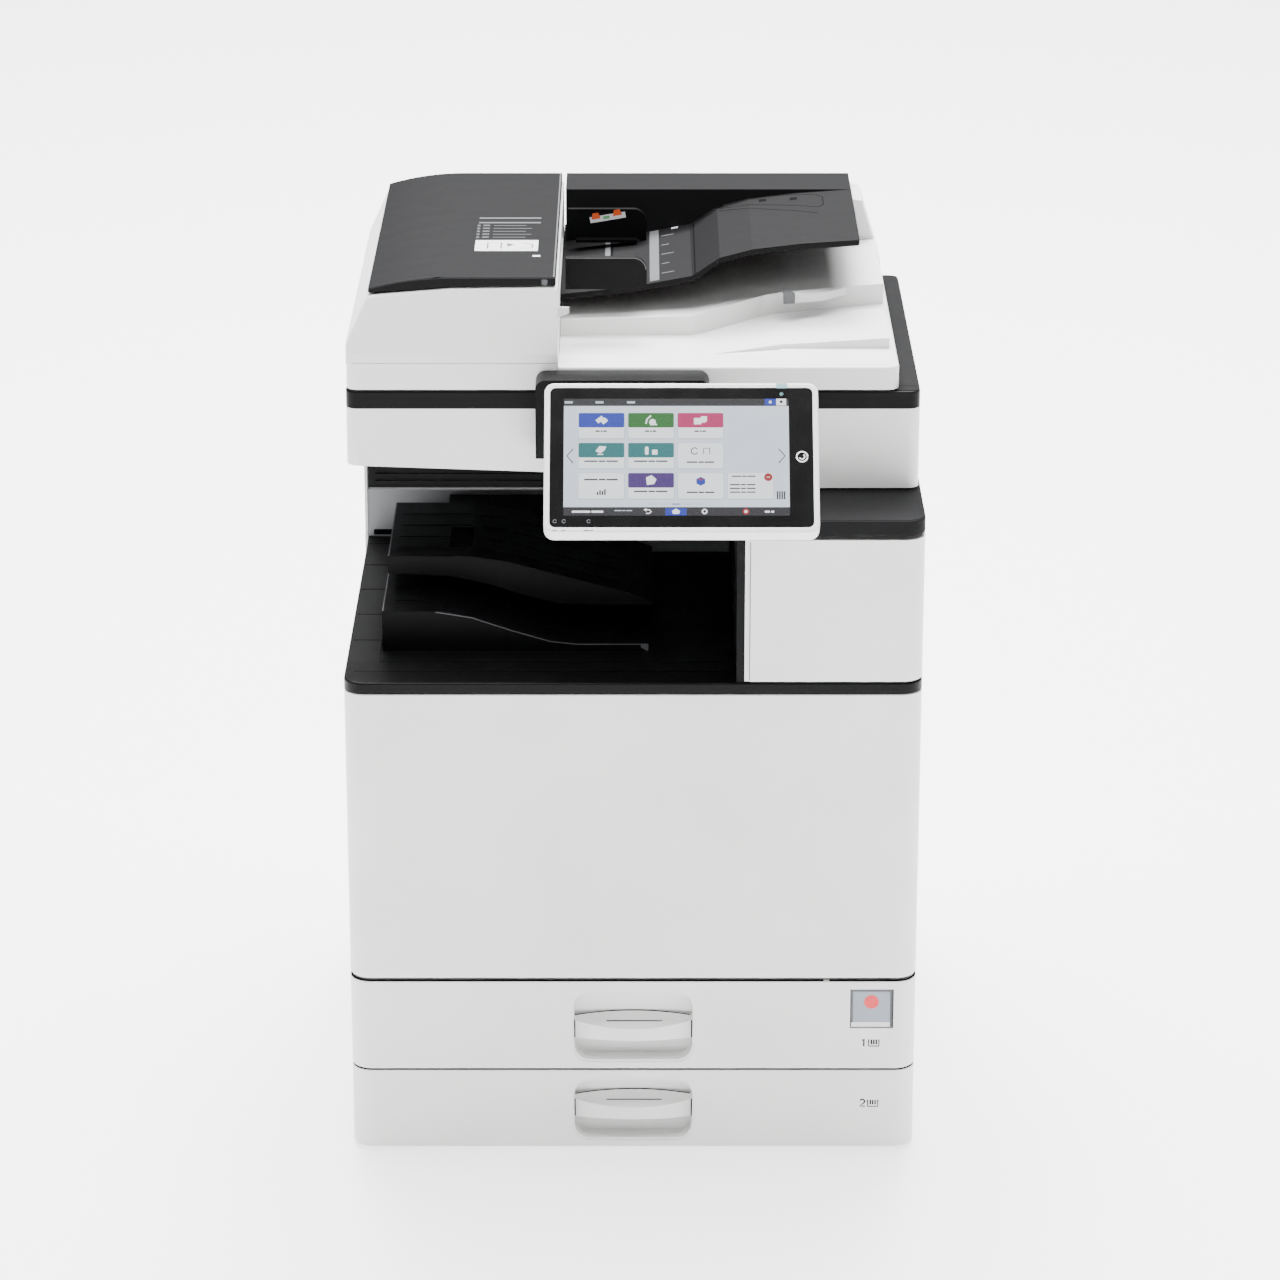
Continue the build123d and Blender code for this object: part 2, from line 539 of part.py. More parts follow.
with BuildPart() as upper_exit_tray:
    along_y(UPPER_TRAY_TOP + UPPER_TRAY_UNDER, UPPER_TRAY_D)
    block((-200, -80), (UPPER_TRAY_D[1], EXIT_BACK), (580, 588))
upper_exit_tray.part.label = "upper_exit_tray"
export_step(upper_exit_tray.part, "parts/upper_exit_tray.step")

with BuildPart() as exit_rear_wall:
    block((-HALF + SKIN + 1, EXIT_RIGHT), (EXIT_BACK, EXIT_BACK + SKIN), (LIP_Z[1], SUPPORT_FLOOR))
exit_rear_wall.part.label = "exit_rear_wall"
export_step(exit_rear_wall.part, "parts/exit_rear_wall.step")

# ---- right-hand wing beside the exit space ----
with BuildPart() as wing_front_cover:
    front_slab(WING_Z, WRAP, x=(WING_X + 4.5, HALF), round_left=False)
    fillet(wing_front_cover.edges().filter_by(Axis.Z).group_by(Axis.X)[0].sort_by(Axis.Y)[0], 1.5)
    front_slab(WING_Z, WRAP, inset=SKIN, x=(WING_X + 4.5, HALF), round_left=False, mode=Mode.SUBTRACT)
    block((WING_X, WING_X + 4.5), (1.5, WRAP), (WING_Z[0], WING_Z[1]))
wing_front_cover.part.label = "wing_front_cover"
export_step(wing_front_cover.part, "parts/wing_front_cover.step")

with BuildPart() as wing_side_cover:
    block((HALF - SKIN, HALF), (WRAP + GAP, BODY_DEPTH - 16), (WING_Z[0], COVER_TOP - 12))
    block((WING_X, HALF - SKIN), (WRAP, WRAP + SKIN), (WING_Z[0], WING_Z[1]))
    block((HALF - SKIN, HALF), (WRAP, WRAP + SKIN), (WING_Z[0], WING_Z[1]))
wing_side_cover.part.label = "wing_side_cover"
export_step(wing_side_cover.part, "parts/wing_side_cover.step")

with BuildPart() as wing_inner_wall:
    block((EXIT_RIGHT, EXIT_RIGHT + SKIN), (2, FRAME_BACK), (LIP_Z[1], WING_CAP_Z[0] - 1))
    block((EXIT_RIGHT + SKIN, WING_X), (2, 2 + SKIN), (LIP_Z[1], WING_CAP_Z[0] - 1))
    for slot_z in ((545, 560), (596, 610)):
        block((EXIT_RIGHT, EXIT_RIGHT + SKIN), (90, 400), slot_z, mode=Mode.SUBTRACT)
wing_inner_wall.part.label = "wing_inner_wall"
export_step(wing_inner_wall.part, "parts/wing_inner_wall.step")

with BuildPart() as wing_cap:
    front_slab(WING_CAP_Z, BODY_DEPTH - 16, x=(EXIT_RIGHT, HALF), round_left=False)
    fillet(wing_cap.faces().sort_by(Axis.Z)[-1].edges().group_by(Axis.Y)[0], 2)
    cavity_z = (WING_CAP_Z[0], WING_CAP_Z[1] - SKIN)
    inner = (EXIT_RIGHT, HALF)
    front_slab(cavity_z, BODY_DEPTH - 20, inset=SKIN, x=inner, round_left=False, mode=Mode.SUBTRACT)
wing_cap.part.label = "wing_cap"
export_step(wing_cap.part, "parts/wing_cap.step")

exit_roller = tyre_roller(122, (80, 410), 603, 3, 8, 4)
exit_roller.part.label = "exit_roller"
export_step(exit_roller.part, "parts/exit_roller.step")

# ---- scanner ----
RAIL_Z = (745.0, 752.0)  # ledges that the lamp carriage runs on
CASE_UNDER = [(-SCANNER_X, 721), (-90, 714), (90, SCANNER_Z[0]), (SCANNER_X, SCANNER_Z[0])]

with BuildPart() as scanner_support:
    support_floor = [(-278, SUPPORT_FLOOR), (100, SUPPORT_FLOOR)]
    along_y(support_floor + [(100, 696.4), (90, 696.4), (-90, 713.4), (-278, 720)], SUPPORT_D)
    hollow_d = (SUPPORT_D[0] + SKIN, SUPPORT_D[1] - SKIN)
    along_y([(-275, 655), (97, 655), (97, 700), (-90, 720), (-275, 724)], hollow_d, mode=Mode.SUBTRACT)
scanner_support.part.label = "scanner_support"
export_step(scanner_support.part, "parts/scanner_support.step")

with BuildPart() as scanner_case:
    top_corners = [(SCANNER_X, SCANNER_Z[1]), (-SCANNER_X, SCANNER_Z[1])]
    along_y(CASE_UNDER + top_corners, (SCANNER_FRONT, SCANNER_BACK))
    fillet(scanner_case.edges().filter_by(Axis.Z).group_by(Axis.Y)[0], 12)
    inner_under = [(-SCANNER_X + SKIN, 724), (-90, 717), (90, 700), (SCANNER_X - SKIN, 700)]
    inner_corners = [(SCANNER_X - SKIN, SCANNER_Z[1]), (-SCANNER_X + SKIN, SCANNER_Z[1])]
    inner_d = (SCANNER_FRONT + 4, SCANNER_BACK - SKIN)
    along_y(inner_under + inner_corners, inner_d, mode=Mode.SUBTRACT)
    for ledge_d in ((SCANNER_FRONT + 4, 120), (528, SCANNER_BACK - SKIN)):
        block((-SCANNER_X + SKIN, SCANNER_X - SKIN), ledge_d, RAIL_Z)
scanner_case.part.label = "scanner_case"
export_step(scanner_case.part, "parts/scanner_case.step")

GLASS_X = (-232.0, 217.0)
GLASS_D = (148.0, 472.0)
GLASS_THICK = 3.0

with BuildPart() as scanner_frame:
    frame_x = (-SCANNER_X, SCANNER_X)
    frame_d = (SCANNER_FRONT, SCANNER_BACK)
    block(frame_x, frame_d, (SCANNER_Z[1], SCANNER_FRAME_TOP))
    fillet(scanner_frame.edges().filter_by(Axis.Z), 12)
    fillet(scanner_frame.faces().sort_by(Axis.Z)[-1].edges(), 1.5)
    inner_x = (frame_x[0] + SKIN, frame_x[1] - SKIN)
    inner_d = (frame_d[0] + 4, frame_d[1] - SKIN)
    block(inner_x, inner_d, (SCANNER_Z[1], SCANNER_FRAME_TOP - GLASS_THICK), mode=Mode.SUBTRACT)
    block(GLASS_X, GLASS_D, (SCANNER_Z[1], SCANNER_FRAME_TOP), mode=Mode.SUBTRACT)
scanner_frame.part.label = "scanner_frame"
export_step(scanner_frame.part, "parts/scanner_frame.step")

with BuildPart() as platen_glass:
    glass_z = (SCANNER_FRAME_TOP - GLASS_THICK, SCANNER_FRAME_TOP)
    block((GLASS_X[0] + 0.5, GLASS_X[1] - 0.5), (GLASS_D[0] + 0.5, GLASS_D[1] - 0.5), glass_z)
platen_glass.part.label = "platen_glass"
export_step(platen_glass.part, "parts/platen_glass.step")

with BuildPart() as lamp_carriage:
    block((-216, -188), (112, 536), (RAIL_Z[1] + 0.4, RAIL_Z[1] + 5))
    block((-216, -188), (140, 510), (RAIL_Z[1] + 5, 785))
    block((-206, -198), (150, 500), (770, 785), mode=Mode.SUBTRACT)
lamp_carriage.part.label = "lamp_carriage"
export_step(lamp_carriage.part, "parts/lamp_carriage.step")

# ---- document feeder ----
LID_AXIS = (564.0, 812.0)  # depth and height of the feeder's hinge line
LID_PIN = 4.0
BASE_Z = (FEEDER_Z[0], 812.0)

with BuildPart() as feeder_hinges:
    for side, foot in ((-1, REAR_FRAME_TOP), (1, WING_CAP_Z[1])):
        block(sorted((side * 200, side * 240)), (557, 580), (foot, 817))
        bar_x(sorted((side * 239, side * 250)), LID_AXIS[0], LID_AXIS[1], LID_PIN)
feeder_hinges.part.label = "feeder_hinges"
export_step(feeder_hinges.part, "parts/feeder_hinges.step")

with BuildPart() as feeder_base:
    block(FEEDER_X, (FEEDER_FRONT, FEEDER_BACK), BASE_Z)
    block((FEEDER_X[0], HUMP_RIGHT), (FEEDER_FRONT, FEEDER_BACK), (BASE_Z[1], FEEDER_Z[1] - 0.6))
    fillet(feeder_base.edges().filter_by(Axis.Z).group_by(Axis.X)[0], 12)
    fillet(feeder_base.edges().filter_by(Axis.Z).group_by(Axis.X)[-1], 12)
    inner_x = (FEEDER_X[0] + SKIN + 1, FEEDER_X[1] - SKIN - 1)
    inner_d = (FEEDER_FRONT + SKIN + 1, FEEDER_BACK - SKIN - 1)
    block(inner_x, inner_d, (BASE_Z[0], BASE_Z[1] - SKIN), mode=Mode.SUBTRACT)
    for side in (-1, 1):
        arm_x = sorted((side * 243, side * 247))
        block(arm_x, (FEEDER_BACK, LID_AXIS[0] + 8), (BASE_Z[0] + 3, LID_AXIS[1] + 8))
        bar_x(arm_x, LID_AXIS[0], LID_AXIS[1], LID_PIN + 0.05, mode=Mode.SUBTRACT)
feeder_base.part.label = "feeder_base"
export_step(feeder_base.part, "parts/feeder_base.step")

with BuildPart() as platen_pad:
    block((-284, 263), (106, 548), (SCANNER_FRAME_TOP + 0.6, BASE_Z[1] - SKIN))
platen_pad.part.label = "platen_pad"
export_step(platen_pad.part, "parts/platen_pad.step")

FEED_AXIS = (-150.0, 868.0)  # x and height of the feed roller
HUMP = [(-290, 829), (-290, 848), (-268, 895), (-185, 902), (HUMP_RIGHT, 903.5), (HUMP_RIGHT, 829)]
HUMP_HOLLOW = [(-287, 829), (-287, 848.5), (-262, 890), (-262, 910), (-79, 910), (-79, 829)]

with BuildPart() as feeder_housing:
    along_y(HUMP, (FEEDER_FRONT, FEEDER_BACK))
    along_x([(95, 838), (FEEDER_FRONT, 838), (118, 906), (95, 906)], (-300, -60), mode=Mode.SUBTRACT)
    shoulders = feeder_housing.edges().filter_by(Axis.Y).sort_by(Axis.X)[:3].sort_by(Axis.Z)[1:]
    fillet(shoulders, 8)
    front_rim = feeder_housing.faces().sort_by(Axis.Y)[:2].edges().filter_by(lambda e: e.center().Z > 840)
    fillet(front_rim.filter_by(lambda e: e.center().X < -100 and e.length > 5), 5)
    along_y(HUMP_HOLLOW, (122, FEEDER_BACK - SKIN), mode=Mode.SUBTRACT)
    for slot_z in ((834, 846), (862, 884)):
        block((HUMP_RIGHT - 5, HUMP_RIGHT), (140, 470), slot_z, mode=Mode.SUBTRACT)
    for plate_d in ((206, 209), (411, 414)):
        block((-165, -135), plate_d, (FEEDER_Z[1], 882))
        bar_y(FEED_AXIS[0], plate_d, FEED_AXIS[1], 4.05, mode=Mode.SUBTRACT)
    block((-165, -135), (206, 414), (FEEDER_Z[1], FEEDER_Z[1] + SKIN))
    block((-287, -165), (300, 310), (FEEDER_Z[1], FEEDER_Z[1] + SKIN))
feeder_housing.part.label = "feeder_housing"
export_step(feeder_housing.part, "parts/feeder_housing.step")

COVER_D = (120.0, FEEDER_BACK)
COVER_X = (-267.0, -78.0)
COVER_BEND = -185.0  # left of this the cover curves down
COVER_EDGE = 901.0  # height of the cover's left edge

with BuildPart() as feeder_cover:
    with BuildSketch(Plane(origin=(0, behind(COVER_D[1]), 0), x_dir=(1, 0, 0), z_dir=(0, -1, 0))) as section:
        with BuildLine():
            Line((COVER_X[1], HEIGHT), (COVER_BEND, HEIGHT))
            TangentArc((COVER_BEND, HEIGHT), (COVER_X[0], COVER_EDGE), tangent=(-1, 0))
            Line((COVER_X[0], COVER_EDGE), (COVER_X[0], 897.5))
            Polyline((COVER_X[0], 897.5), (COVER_BEND, 904), (COVER_X[1], 905), (COVER_X[1], HEIGHT))
        make_face()
    extrude(section.sketch, amount=COVER_D[1] - COVER_D[0])
    fillet(feeder_cover.faces().sort_by(Axis.Y)[0].edges().sort_by(Axis.Z)[-1], 2)
feeder_cover.part.label = "feeder_cover"
export_step(feeder_cover.part, "parts/feeder_cover.step")

feed_roller = tyre_roller(FEED_AXIS[0], (204, 416), FEED_AXIS[1], 4, 12, 2)
feed_roller.part.label = "feed_roller"
export_step(feed_roller.part, "parts/feed_roller.step")

TRAY_TOP = [(-75.5, 855), (0, 863), (61, 874.5), (90, 894), (124, 903), (174, 909), (235, HEIGHT)]
TRAY_THICK = 6.0
LEDGE_X = (-73.0, 235.0)
LEDGE_D = (481.0, FEEDER_BACK)
LEDGE_FOOT = 825.5

with BuildPart() as input_tray:
    underside = [(x, z - TRAY_THICK) for x, z in reversed(TRAY_TOP)]
    along_y(TRAY_TOP + underside, (267, FEEDER_BACK))
    fillet(input_tray.edges().filter_by(Axis.Z).group_by(Axis.X)[-1].sort_by(Axis.Y)[0], 5)
    block(LEDGE_X, LEDGE_D, (LEDGE_FOOT, HEIGHT))
    ledge_inner = (LEDGE_X[0] + SKIN, LEDGE_X[1] - SKIN)
    ledge_hollow = (LEDGE_D[0] + SKIN, LEDGE_D[1] - SKIN)
    block(ledge_inner, ledge_hollow, (LEDGE_FOOT, HEIGHT - SKIN), mode=Mode.SUBTRACT)
input_tray.part.label = "input_tray"
export_step(input_tray.part, "parts/input_tray.step")

EXIT_TRAY_X = (HUMP_RIGHT + 0.5, FEEDER_X[1])

# the shelf that ejected documents land on: its front edge steps back towards the right
with BuildPart() as paper_shelf:
    with BuildSketch(Plane.XY.offset(814)) as shelf_plan:
        with BuildLine():
            Polyline(
                (EXIT_TRAY_X[0], behind(250)),
                (62, behind(245)),
                (136, behind(285)),
                (262, behind(298)),
                (262, behind(479)),
                (EXIT_TRAY_X[0], behind(479)),
                close=True,
            )
        make_face()
    extrude(amount=50)
    shelf_top = [(-76, 832), (62, 838), (160, 852), (263, 858)]
    along_y([(-76, 814)] + shelf_top + [(263, 814)], (240, 480), mode=Mode.INTERSECT)

with BuildPart() as document_exit_tray:
    block(EXIT_TRAY_X, (FEEDER_FRONT, FEEDER_BACK), (BASE_Z[1], 825))
    corner_edges = document_exit_tray.edges().filter_by(Axis.Z).group_by(Axis.X)[-1]
    fillet(corner_edges, 12)
    fillet(document_exit_tray.faces().sort_by(Axis.Z)[-1].edges().group_by(Axis.Y)[0], 2.5)
    along_y([(-84, 826), (-84, 815), (60, 817), (150, 824), (150, 826)], (142, 480), mode=Mode.SUBTRACT)
    along_y([(62, 814), (62, 816), (150, 829), (262, 836), (262, 814)], (168, 300))
    add(paper_shelf.part)
    along_y([(236.5, 824), (268, 824), (268, 832), (247, 900), (237, 902)], (482, FEEDER_BACK - 1))
document_exit_tray.part.label = "document_exit_tray"
export_step(document_exit_tray.part, "parts/document_exit_tray.step")

GUIDE_X = (-70.0, 14.0)
GUIDE_Z = (866.0, 900.0)

for guide_name, plate_d, foot_d in (
    ("front_guide", (246, 252), (252, 264)),
    ("rear_guide", (446, 452), (434, 446)),
):
    with BuildPart() as guide:
        block(GUIDE_X, plate_d, GUIDE_Z)
        fillet(guide.edges().filter_by(Axis.Y).sort_by(Axis.X)[-2:].sort_by(Axis.Z)[-1], 14)
        block((GUIDE_X[0] + 8, GUIDE_X[1] - 10), foot_d, (GUIDE_Z[0], GUIDE_Z[0] + SKIN))
    guide.part.label = guide_name
    export_step(guide.part, f"parts/{guide_name}.step")

# ---- operation panel ----
PANEL_PIVOT = (-0.2, 742.5)  # depth and height of the tilt axis
PIVOT_BACK = 45.0  # the axis lies this far behind the panel's face
PIVOT_PIN = 4.0
BARREL = 8.0

panel_plane = Plane(
    origin=(PANEL_CENTRE[0], behind(PANEL_CENTRE[1]), PANEL_CENTRE[2]),
    x_dir=(1, 0, 0),
    z_dir=Vector(0, -1, 0).rotate(Axis.X, -PANEL_SLOPE),
)

with BuildPart() as panel_bracket:
    block((-98, 77), (62, 98), (740, 822))
    fillet(panel_bracket.edges().filter_by(Axis.Y).group_by(Axis.Z)[-1], 10)
    block((12, 84), (PANEL_PIVOT[0], 64), (PANEL_PIVOT[1] - BARREL, PANEL_PIVOT[1] + BARREL))
    bar_x((12, 84), PANEL_PIVOT[0], PANEL_PIVOT[1], BARREL)
    bar_x((12, 84), PANEL_PIVOT[0], PANEL_PIVOT[1], PIVOT_PIN + 0.05, mode=Mode.SUBTRACT)
    block((-80, 60), (96, SCANNER_FRONT), (745, 778))
panel_bracket.part.label = "panel_bracket"
export_step(panel_bracket.part, "parts/panel_bracket.step")

with BuildPart() as panel_case:
    with BuildSketch(panel_plane.offset(-PANEL_SIZE[2])) as back:
        RectangleRounded(PANEL_SIZE[0], PANEL_SIZE[1], 10)
    extrude(back.sketch, amount=PANEL_SIZE[2])
    fillet(panel_case.faces().sort_by(Axis((0, 0, 0), panel_plane.z_dir))[-1].edges(), 2.5)
    fillet(panel_case.faces().sort_by(Axis((0, 0, 0), panel_plane.z_dir))[0].edges(), 6)
    with BuildSketch(panel_plane) as pocket:
        RectangleRounded(PANEL_SIZE[0] - 11, PANEL_SIZE[1] - 11, 6)
    extrude(pocket.sketch, amount=-2, mode=Mode.SUBTRACT)
    with BuildSketch(panel_plane.offset(-PANEL_SIZE[2] + 0.5)) as lugs:
        with GridLocations(88, 1, 2, 1):
            Rectangle(8, 18)
    extrude(lugs.sketch, amount=PANEL_SIZE[2] - PIVOT_BACK - 9.5)
    bar_x((-8, 104), PANEL_PIVOT[0], PANEL_PIVOT[1], PIVOT_PIN)
panel_case.part.label = "panel_case"
export_step(panel_case.part, "parts/panel_case.step")

with BuildPart() as panel_glass:
    with BuildSketch(panel_plane.offset(-2)) as glass:
        RectangleRounded(PANEL_SIZE[0] - 11.6, PANEL_SIZE[1] - 11.6, 5.7)
    extrude(glass.sketch, amount=1.7)
panel_glass.part.label = "panel_glass"
export_step(panel_glass.part, "parts/panel_glass.step")
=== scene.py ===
"""The looks of the photocopier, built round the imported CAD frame. Metres, front towards -Y."""

import json
from math import cos, pi, radians, sin

import bmesh
import bpy
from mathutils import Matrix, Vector


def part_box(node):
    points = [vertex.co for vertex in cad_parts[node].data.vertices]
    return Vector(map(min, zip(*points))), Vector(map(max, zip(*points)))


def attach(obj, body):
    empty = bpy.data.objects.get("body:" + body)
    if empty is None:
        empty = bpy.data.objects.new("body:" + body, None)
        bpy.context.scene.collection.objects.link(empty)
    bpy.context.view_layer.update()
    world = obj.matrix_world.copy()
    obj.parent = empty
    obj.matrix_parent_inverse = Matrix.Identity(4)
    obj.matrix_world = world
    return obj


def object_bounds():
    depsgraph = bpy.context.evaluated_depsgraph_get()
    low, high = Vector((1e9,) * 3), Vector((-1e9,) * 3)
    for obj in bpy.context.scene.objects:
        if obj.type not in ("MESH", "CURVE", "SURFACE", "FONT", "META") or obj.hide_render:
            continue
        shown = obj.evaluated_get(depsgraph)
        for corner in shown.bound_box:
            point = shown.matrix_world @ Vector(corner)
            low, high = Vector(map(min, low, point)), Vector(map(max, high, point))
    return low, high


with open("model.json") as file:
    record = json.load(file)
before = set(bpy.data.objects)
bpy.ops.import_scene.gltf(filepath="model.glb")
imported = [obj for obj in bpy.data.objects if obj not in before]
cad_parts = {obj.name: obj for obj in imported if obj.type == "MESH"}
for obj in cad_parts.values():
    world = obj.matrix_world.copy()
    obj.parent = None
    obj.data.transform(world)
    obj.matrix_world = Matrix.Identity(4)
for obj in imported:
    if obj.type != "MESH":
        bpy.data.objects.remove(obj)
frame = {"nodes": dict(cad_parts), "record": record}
cad_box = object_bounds()
nodes = frame["nodes"]

MM = 0.001

# ---- camera ----
CAMERA_PLACE = (0.0071, -4.6175, 2.1324)
CAMERA_PITCH = 19.73  # degrees below the horizon
LENS = 129.4

camera_data = bpy.data.cameras.new("camera")
camera_data.lens = LENS
camera_data.sensor_width = 36
camera = bpy.data.objects.new("camera", camera_data)
camera.location = CAMERA_PLACE
camera.rotation_euler = (radians(90 - CAMERA_PITCH), 0, 0)
bpy.context.collection.objects.link(camera)
bpy.context.scene.camera = camera


# ---- materials ----
def srgb(*values):
    """A linear colour from 0-255 display values."""
    linear = [(v / 255) / 12.92 if v <= 10 else ((v / 255 + 0.055) / 1.055) ** 2.4 for v in values]
    return (*linear, 1.0)


def scaled(color, factor):
    return (*[min(c * factor, 1.0) for c in color[:3]], 1.0)


def new_material(name):
    """An empty node material with its shader and object coordinates."""
    material = bpy.data.materials.new(name)
    material.use_nodes = True
    tree = material.node_tree
    shader = tree.nodes["Principled BSDF"]
    coords = tree.nodes.new("ShaderNodeTexCoord")
    return material, tree, shader, coords.outputs["Object"]


def noise(tree, coords, scale, detail=3.0, stretch=(1, 1, 1)):
    """A noise value over object coordinates, stretched along an axis for brushed looks."""
    mapping = tree.nodes.new("ShaderNodeMapping")
    mapping.inputs["Scale"].default_value = stretch
    tree.links.new(coords, mapping.inputs["Vector"])
    texture = tree.nodes.new("ShaderNodeTexNoise")
    texture.inputs["Scale"].default_value = scale
    texture.inputs["Detail"].default_value = detail
    tree.links.new(mapping.outputs["Vector"], texture.inputs["Vector"])
    return texture.outputs["Fac"]


def ramp(tree, value, low, high, start=0.3, end=0.7):
    """Maps a value between two colours."""
    node = tree.nodes.new("ShaderNodeValToRGB")
    node.color_ramp.elements[0].position = start
    node.color_ramp.elements[0].color = low
    node.color_ramp.elements[1].position = end
    node.color_ramp.elements[1].color = high
    tree.links.new(value, node.inputs["Fac"])
    return node.outputs["Color"]


def bump(tree, shader, value, strength, distance):
    """Fine relief on the shader's normal."""
    node = tree.nodes.new("ShaderNodeBump")
    node.inputs["Strength"].default_value = strength
    node.inputs["Distance"].default_value = distance
    tree.links.new(value, node.inputs["Height"])
    tree.links.new(node.outputs["Normal"], shader.inputs["Normal"])


def moulded(name, color, roughness, grain=1400, relief=0.12, tint=0.035, coat=0.0, shine=0.5):
    """Moulded plastic or paint: faint cloudy colour, uneven gloss and a fine spark-eroded grain."""
    material, tree, shader, coords = new_material(name)
    clouds = noise(tree, coords, 9.0)
    tinted = ramp(tree, clouds, scaled(color, 1 - tint), scaled(color, 1 + tint))
    tree.links.new(tinted, shader.inputs["Base Color"])
    gloss = noise(tree, coords, 35.0)
    low = (*[roughness - 0.02] * 3, 1)
    high = (*[roughness + 0.02] * 3, 1)
    tree.links.new(ramp(tree, gloss, low, high), shader.inputs["Roughness"])
    shader.inputs["Specular IOR Level"].default_value = shine
    shader.inputs["Coat Weight"].default_value = coat
    bump(tree, shader, noise(tree, coords, grain, detail=2.0), relief, 0.0002)
    return material


def brushed(name, color, roughness, stretch):
    """Sheet metal with fine lines along one axis."""
    material, tree, shader, coords = new_material(name)
    lines = noise(tree, coords, 60.0, detail=5.0, stretch=stretch)
    tree.links.new(ramp(tree, lines, scaled(color, 0.85), scaled(color, 1.1)), shader.inputs["Base Color"])
    low = (*[roughness - 0.08] * 3, 1)
    high = (*[roughness + 0.08] * 3, 1)
    tree.links.new(ramp(tree, lines, low, high), shader.inputs["Roughness"])
    shader.inputs["Metallic"].default_value = 1.0
    bump(tree, shader, lines, 0.1, 0.0001)
    return material


def clear_glass(name, color, roughness):
    """Clear or tinted glass with faint smears."""
    material, tree, shader, coords = new_material(name)
    smears = noise(tree, coords, 12.0)
    low = (*[roughness] * 3, 1)
    high = (*[roughness + 0.05] * 3, 1)
    tree.links.new(ramp(tree, smears, low, high), shader.inputs["Roughness"])
    shader.inputs["Base Color"].default_value = color
    shader.inputs["Transmission Weight"].default_value = 0.85
    shader.inputs["IOR"].default_value = 1.5
    return material


def lit(name, color, strength, low=0.94):
    """A patch of the lit screen: its own light, barely uneven as a panel's backlight is."""
    material, tree, shader, coords = new_material(name)
    patches = noise(tree, coords, 25.0)
    shade = ramp(tree, patches, scaled(color, low), color)
    tree.links.new(shade, shader.inputs["Emission Color"])
    shader.inputs["Emission Strength"].default_value = strength
    shader.inputs["Base Color"].default_value = (0.01, 0.01, 0.012, 1)
    shader.inputs["Roughness"].default_value = 0.25
    return material


WHITE = srgb(226, 226, 225)
DARK = srgb(24, 24, 25)
BLACK = srgb(6, 6, 7)

slot_materials = {
    "white_plastic": moulded("white_plastic", WHITE, 0.42),
    "dark_plastic": moulded("dark_plastic", DARK, 0.62, relief=0.2, tint=0.015, shine=0.05),
    "black_plastic": moulded("black_plastic", BLACK, 0.4, relief=0.06, shine=0.1),
    "grey_plastic": moulded("grey_plastic", srgb(132, 134, 137), 0.48),
    "steel": brushed("steel", srgb(178, 181, 184), 0.36, (1, 1, 30)),
    "rubber": moulded("rubber", srgb(34, 34, 35), 0.75, relief=0.3),
    "glass": clear_glass("glass", srgb(216, 232, 226), 0.03),
    "screen_glass": moulded("screen_glass", srgb(5, 5, 6), 0.2, relief=0.0, tint=0.01, shine=0.3),
    "pad_foam": moulded("pad_foam", srgb(236, 236, 234), 0.6, grain=500),
    "toner_black": moulded("toner_black", srgb(44, 44, 46), 0.4),
    "drum_coating": moulded("drum_coating", srgb(40, 110, 120), 0.2, relief=0.0, coat=0.6),
    "smoked_cover": moulded("smoked_cover", srgb(124, 134, 146), 0.16, relief=0.0, coat=0.5),
    "signal_red": moulded("signal_red", srgb(214, 36, 46), 0.35, relief=0.0),
}

for entry in frame["record"]["subparts"]:
    node = nodes[entry["node"]]
    for holder in node.material_slots:
        holder.material = slot_materials[entry["material_slot"]]

EDGE_ROUND = 0.7 * MM
SHARP = radians(35)  # edges that turn more than this are rounded
SOFT_EDGED = [
    "wing_front_cover",
    "wing_side_cover",
    "exit_tray_base",
    "lower_exit_tray",
    "upper_exit_tray",
    "scanner_case",
    "feeder_housing",
    "feeder_cover",
    "input_tray",
    "document_exit_tray",
    "left_cover",
    "right_cover",
]
for name in SOFT_EDGED:
    rounding = nodes[name].modifiers.new("edges", "BEVEL")
    rounding.width = EDGE_ROUND
    rounding.segments = 2
    rounding.limit_method = "ANGLE"
    rounding.angle_limit = SHARP
    rounding.harden_normals = False

# ---- flat details ----
SINK = 0.05  # mm that a detail is let into the face that carries it


class Flat:
    """Gathers thin prisms into one piece. Outlines are (u, v) in mm on a face; w stands out of it."""

    def __init__(self, name, origin, u, v):
        self.name = name
        self.origin = Vector(origin)
        self.u = Vector(u)
        self.v = Vector(v)
        self.w = self.u.cross(self.v)
        self.mesh = bmesh.new()
        self.materials = []

    def place(self, point, height):
        return self.origin + (self.u * point[0] + self.v * point[1] + self.w * height) * MM

    def add(self, outline, material, high=0.12, low=-SINK):
        """One prism from an outline, between two heights over the face."""
        if material not in self.materials:
            self.materials.append(material)
        top = [self.mesh.verts.new(self.place(p, high)) for p in outline]
        under = [self.mesh.verts.new(self.place(p, low)) for p in outline]
        faces = [self.mesh.faces.new(top), self.mesh.faces.new(reversed(under))]
        for i in range(len(outline)):
            j = (i + 1) % len(outline)
            faces.append(self.mesh.faces.new((top[i], under[i], under[j], top[j])))
        for face in faces:
            face.material_index = self.materials.index(material)

    def done(self, body, slot_name):
        """Closes the piece and lets it ride on its body."""
        bmesh.ops.recalc_face_normals(self.mesh, faces=self.mesh.faces)
        data = bpy.data.meshes.new(self.name)
        self.mesh.to_mesh(data)
        self.mesh.free()
        piece = bpy.data.objects.new(self.name, data)
        for material in self.materials:
            data.materials.append(material)
        bpy.context.collection.objects.link(piece)
        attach(piece, body)


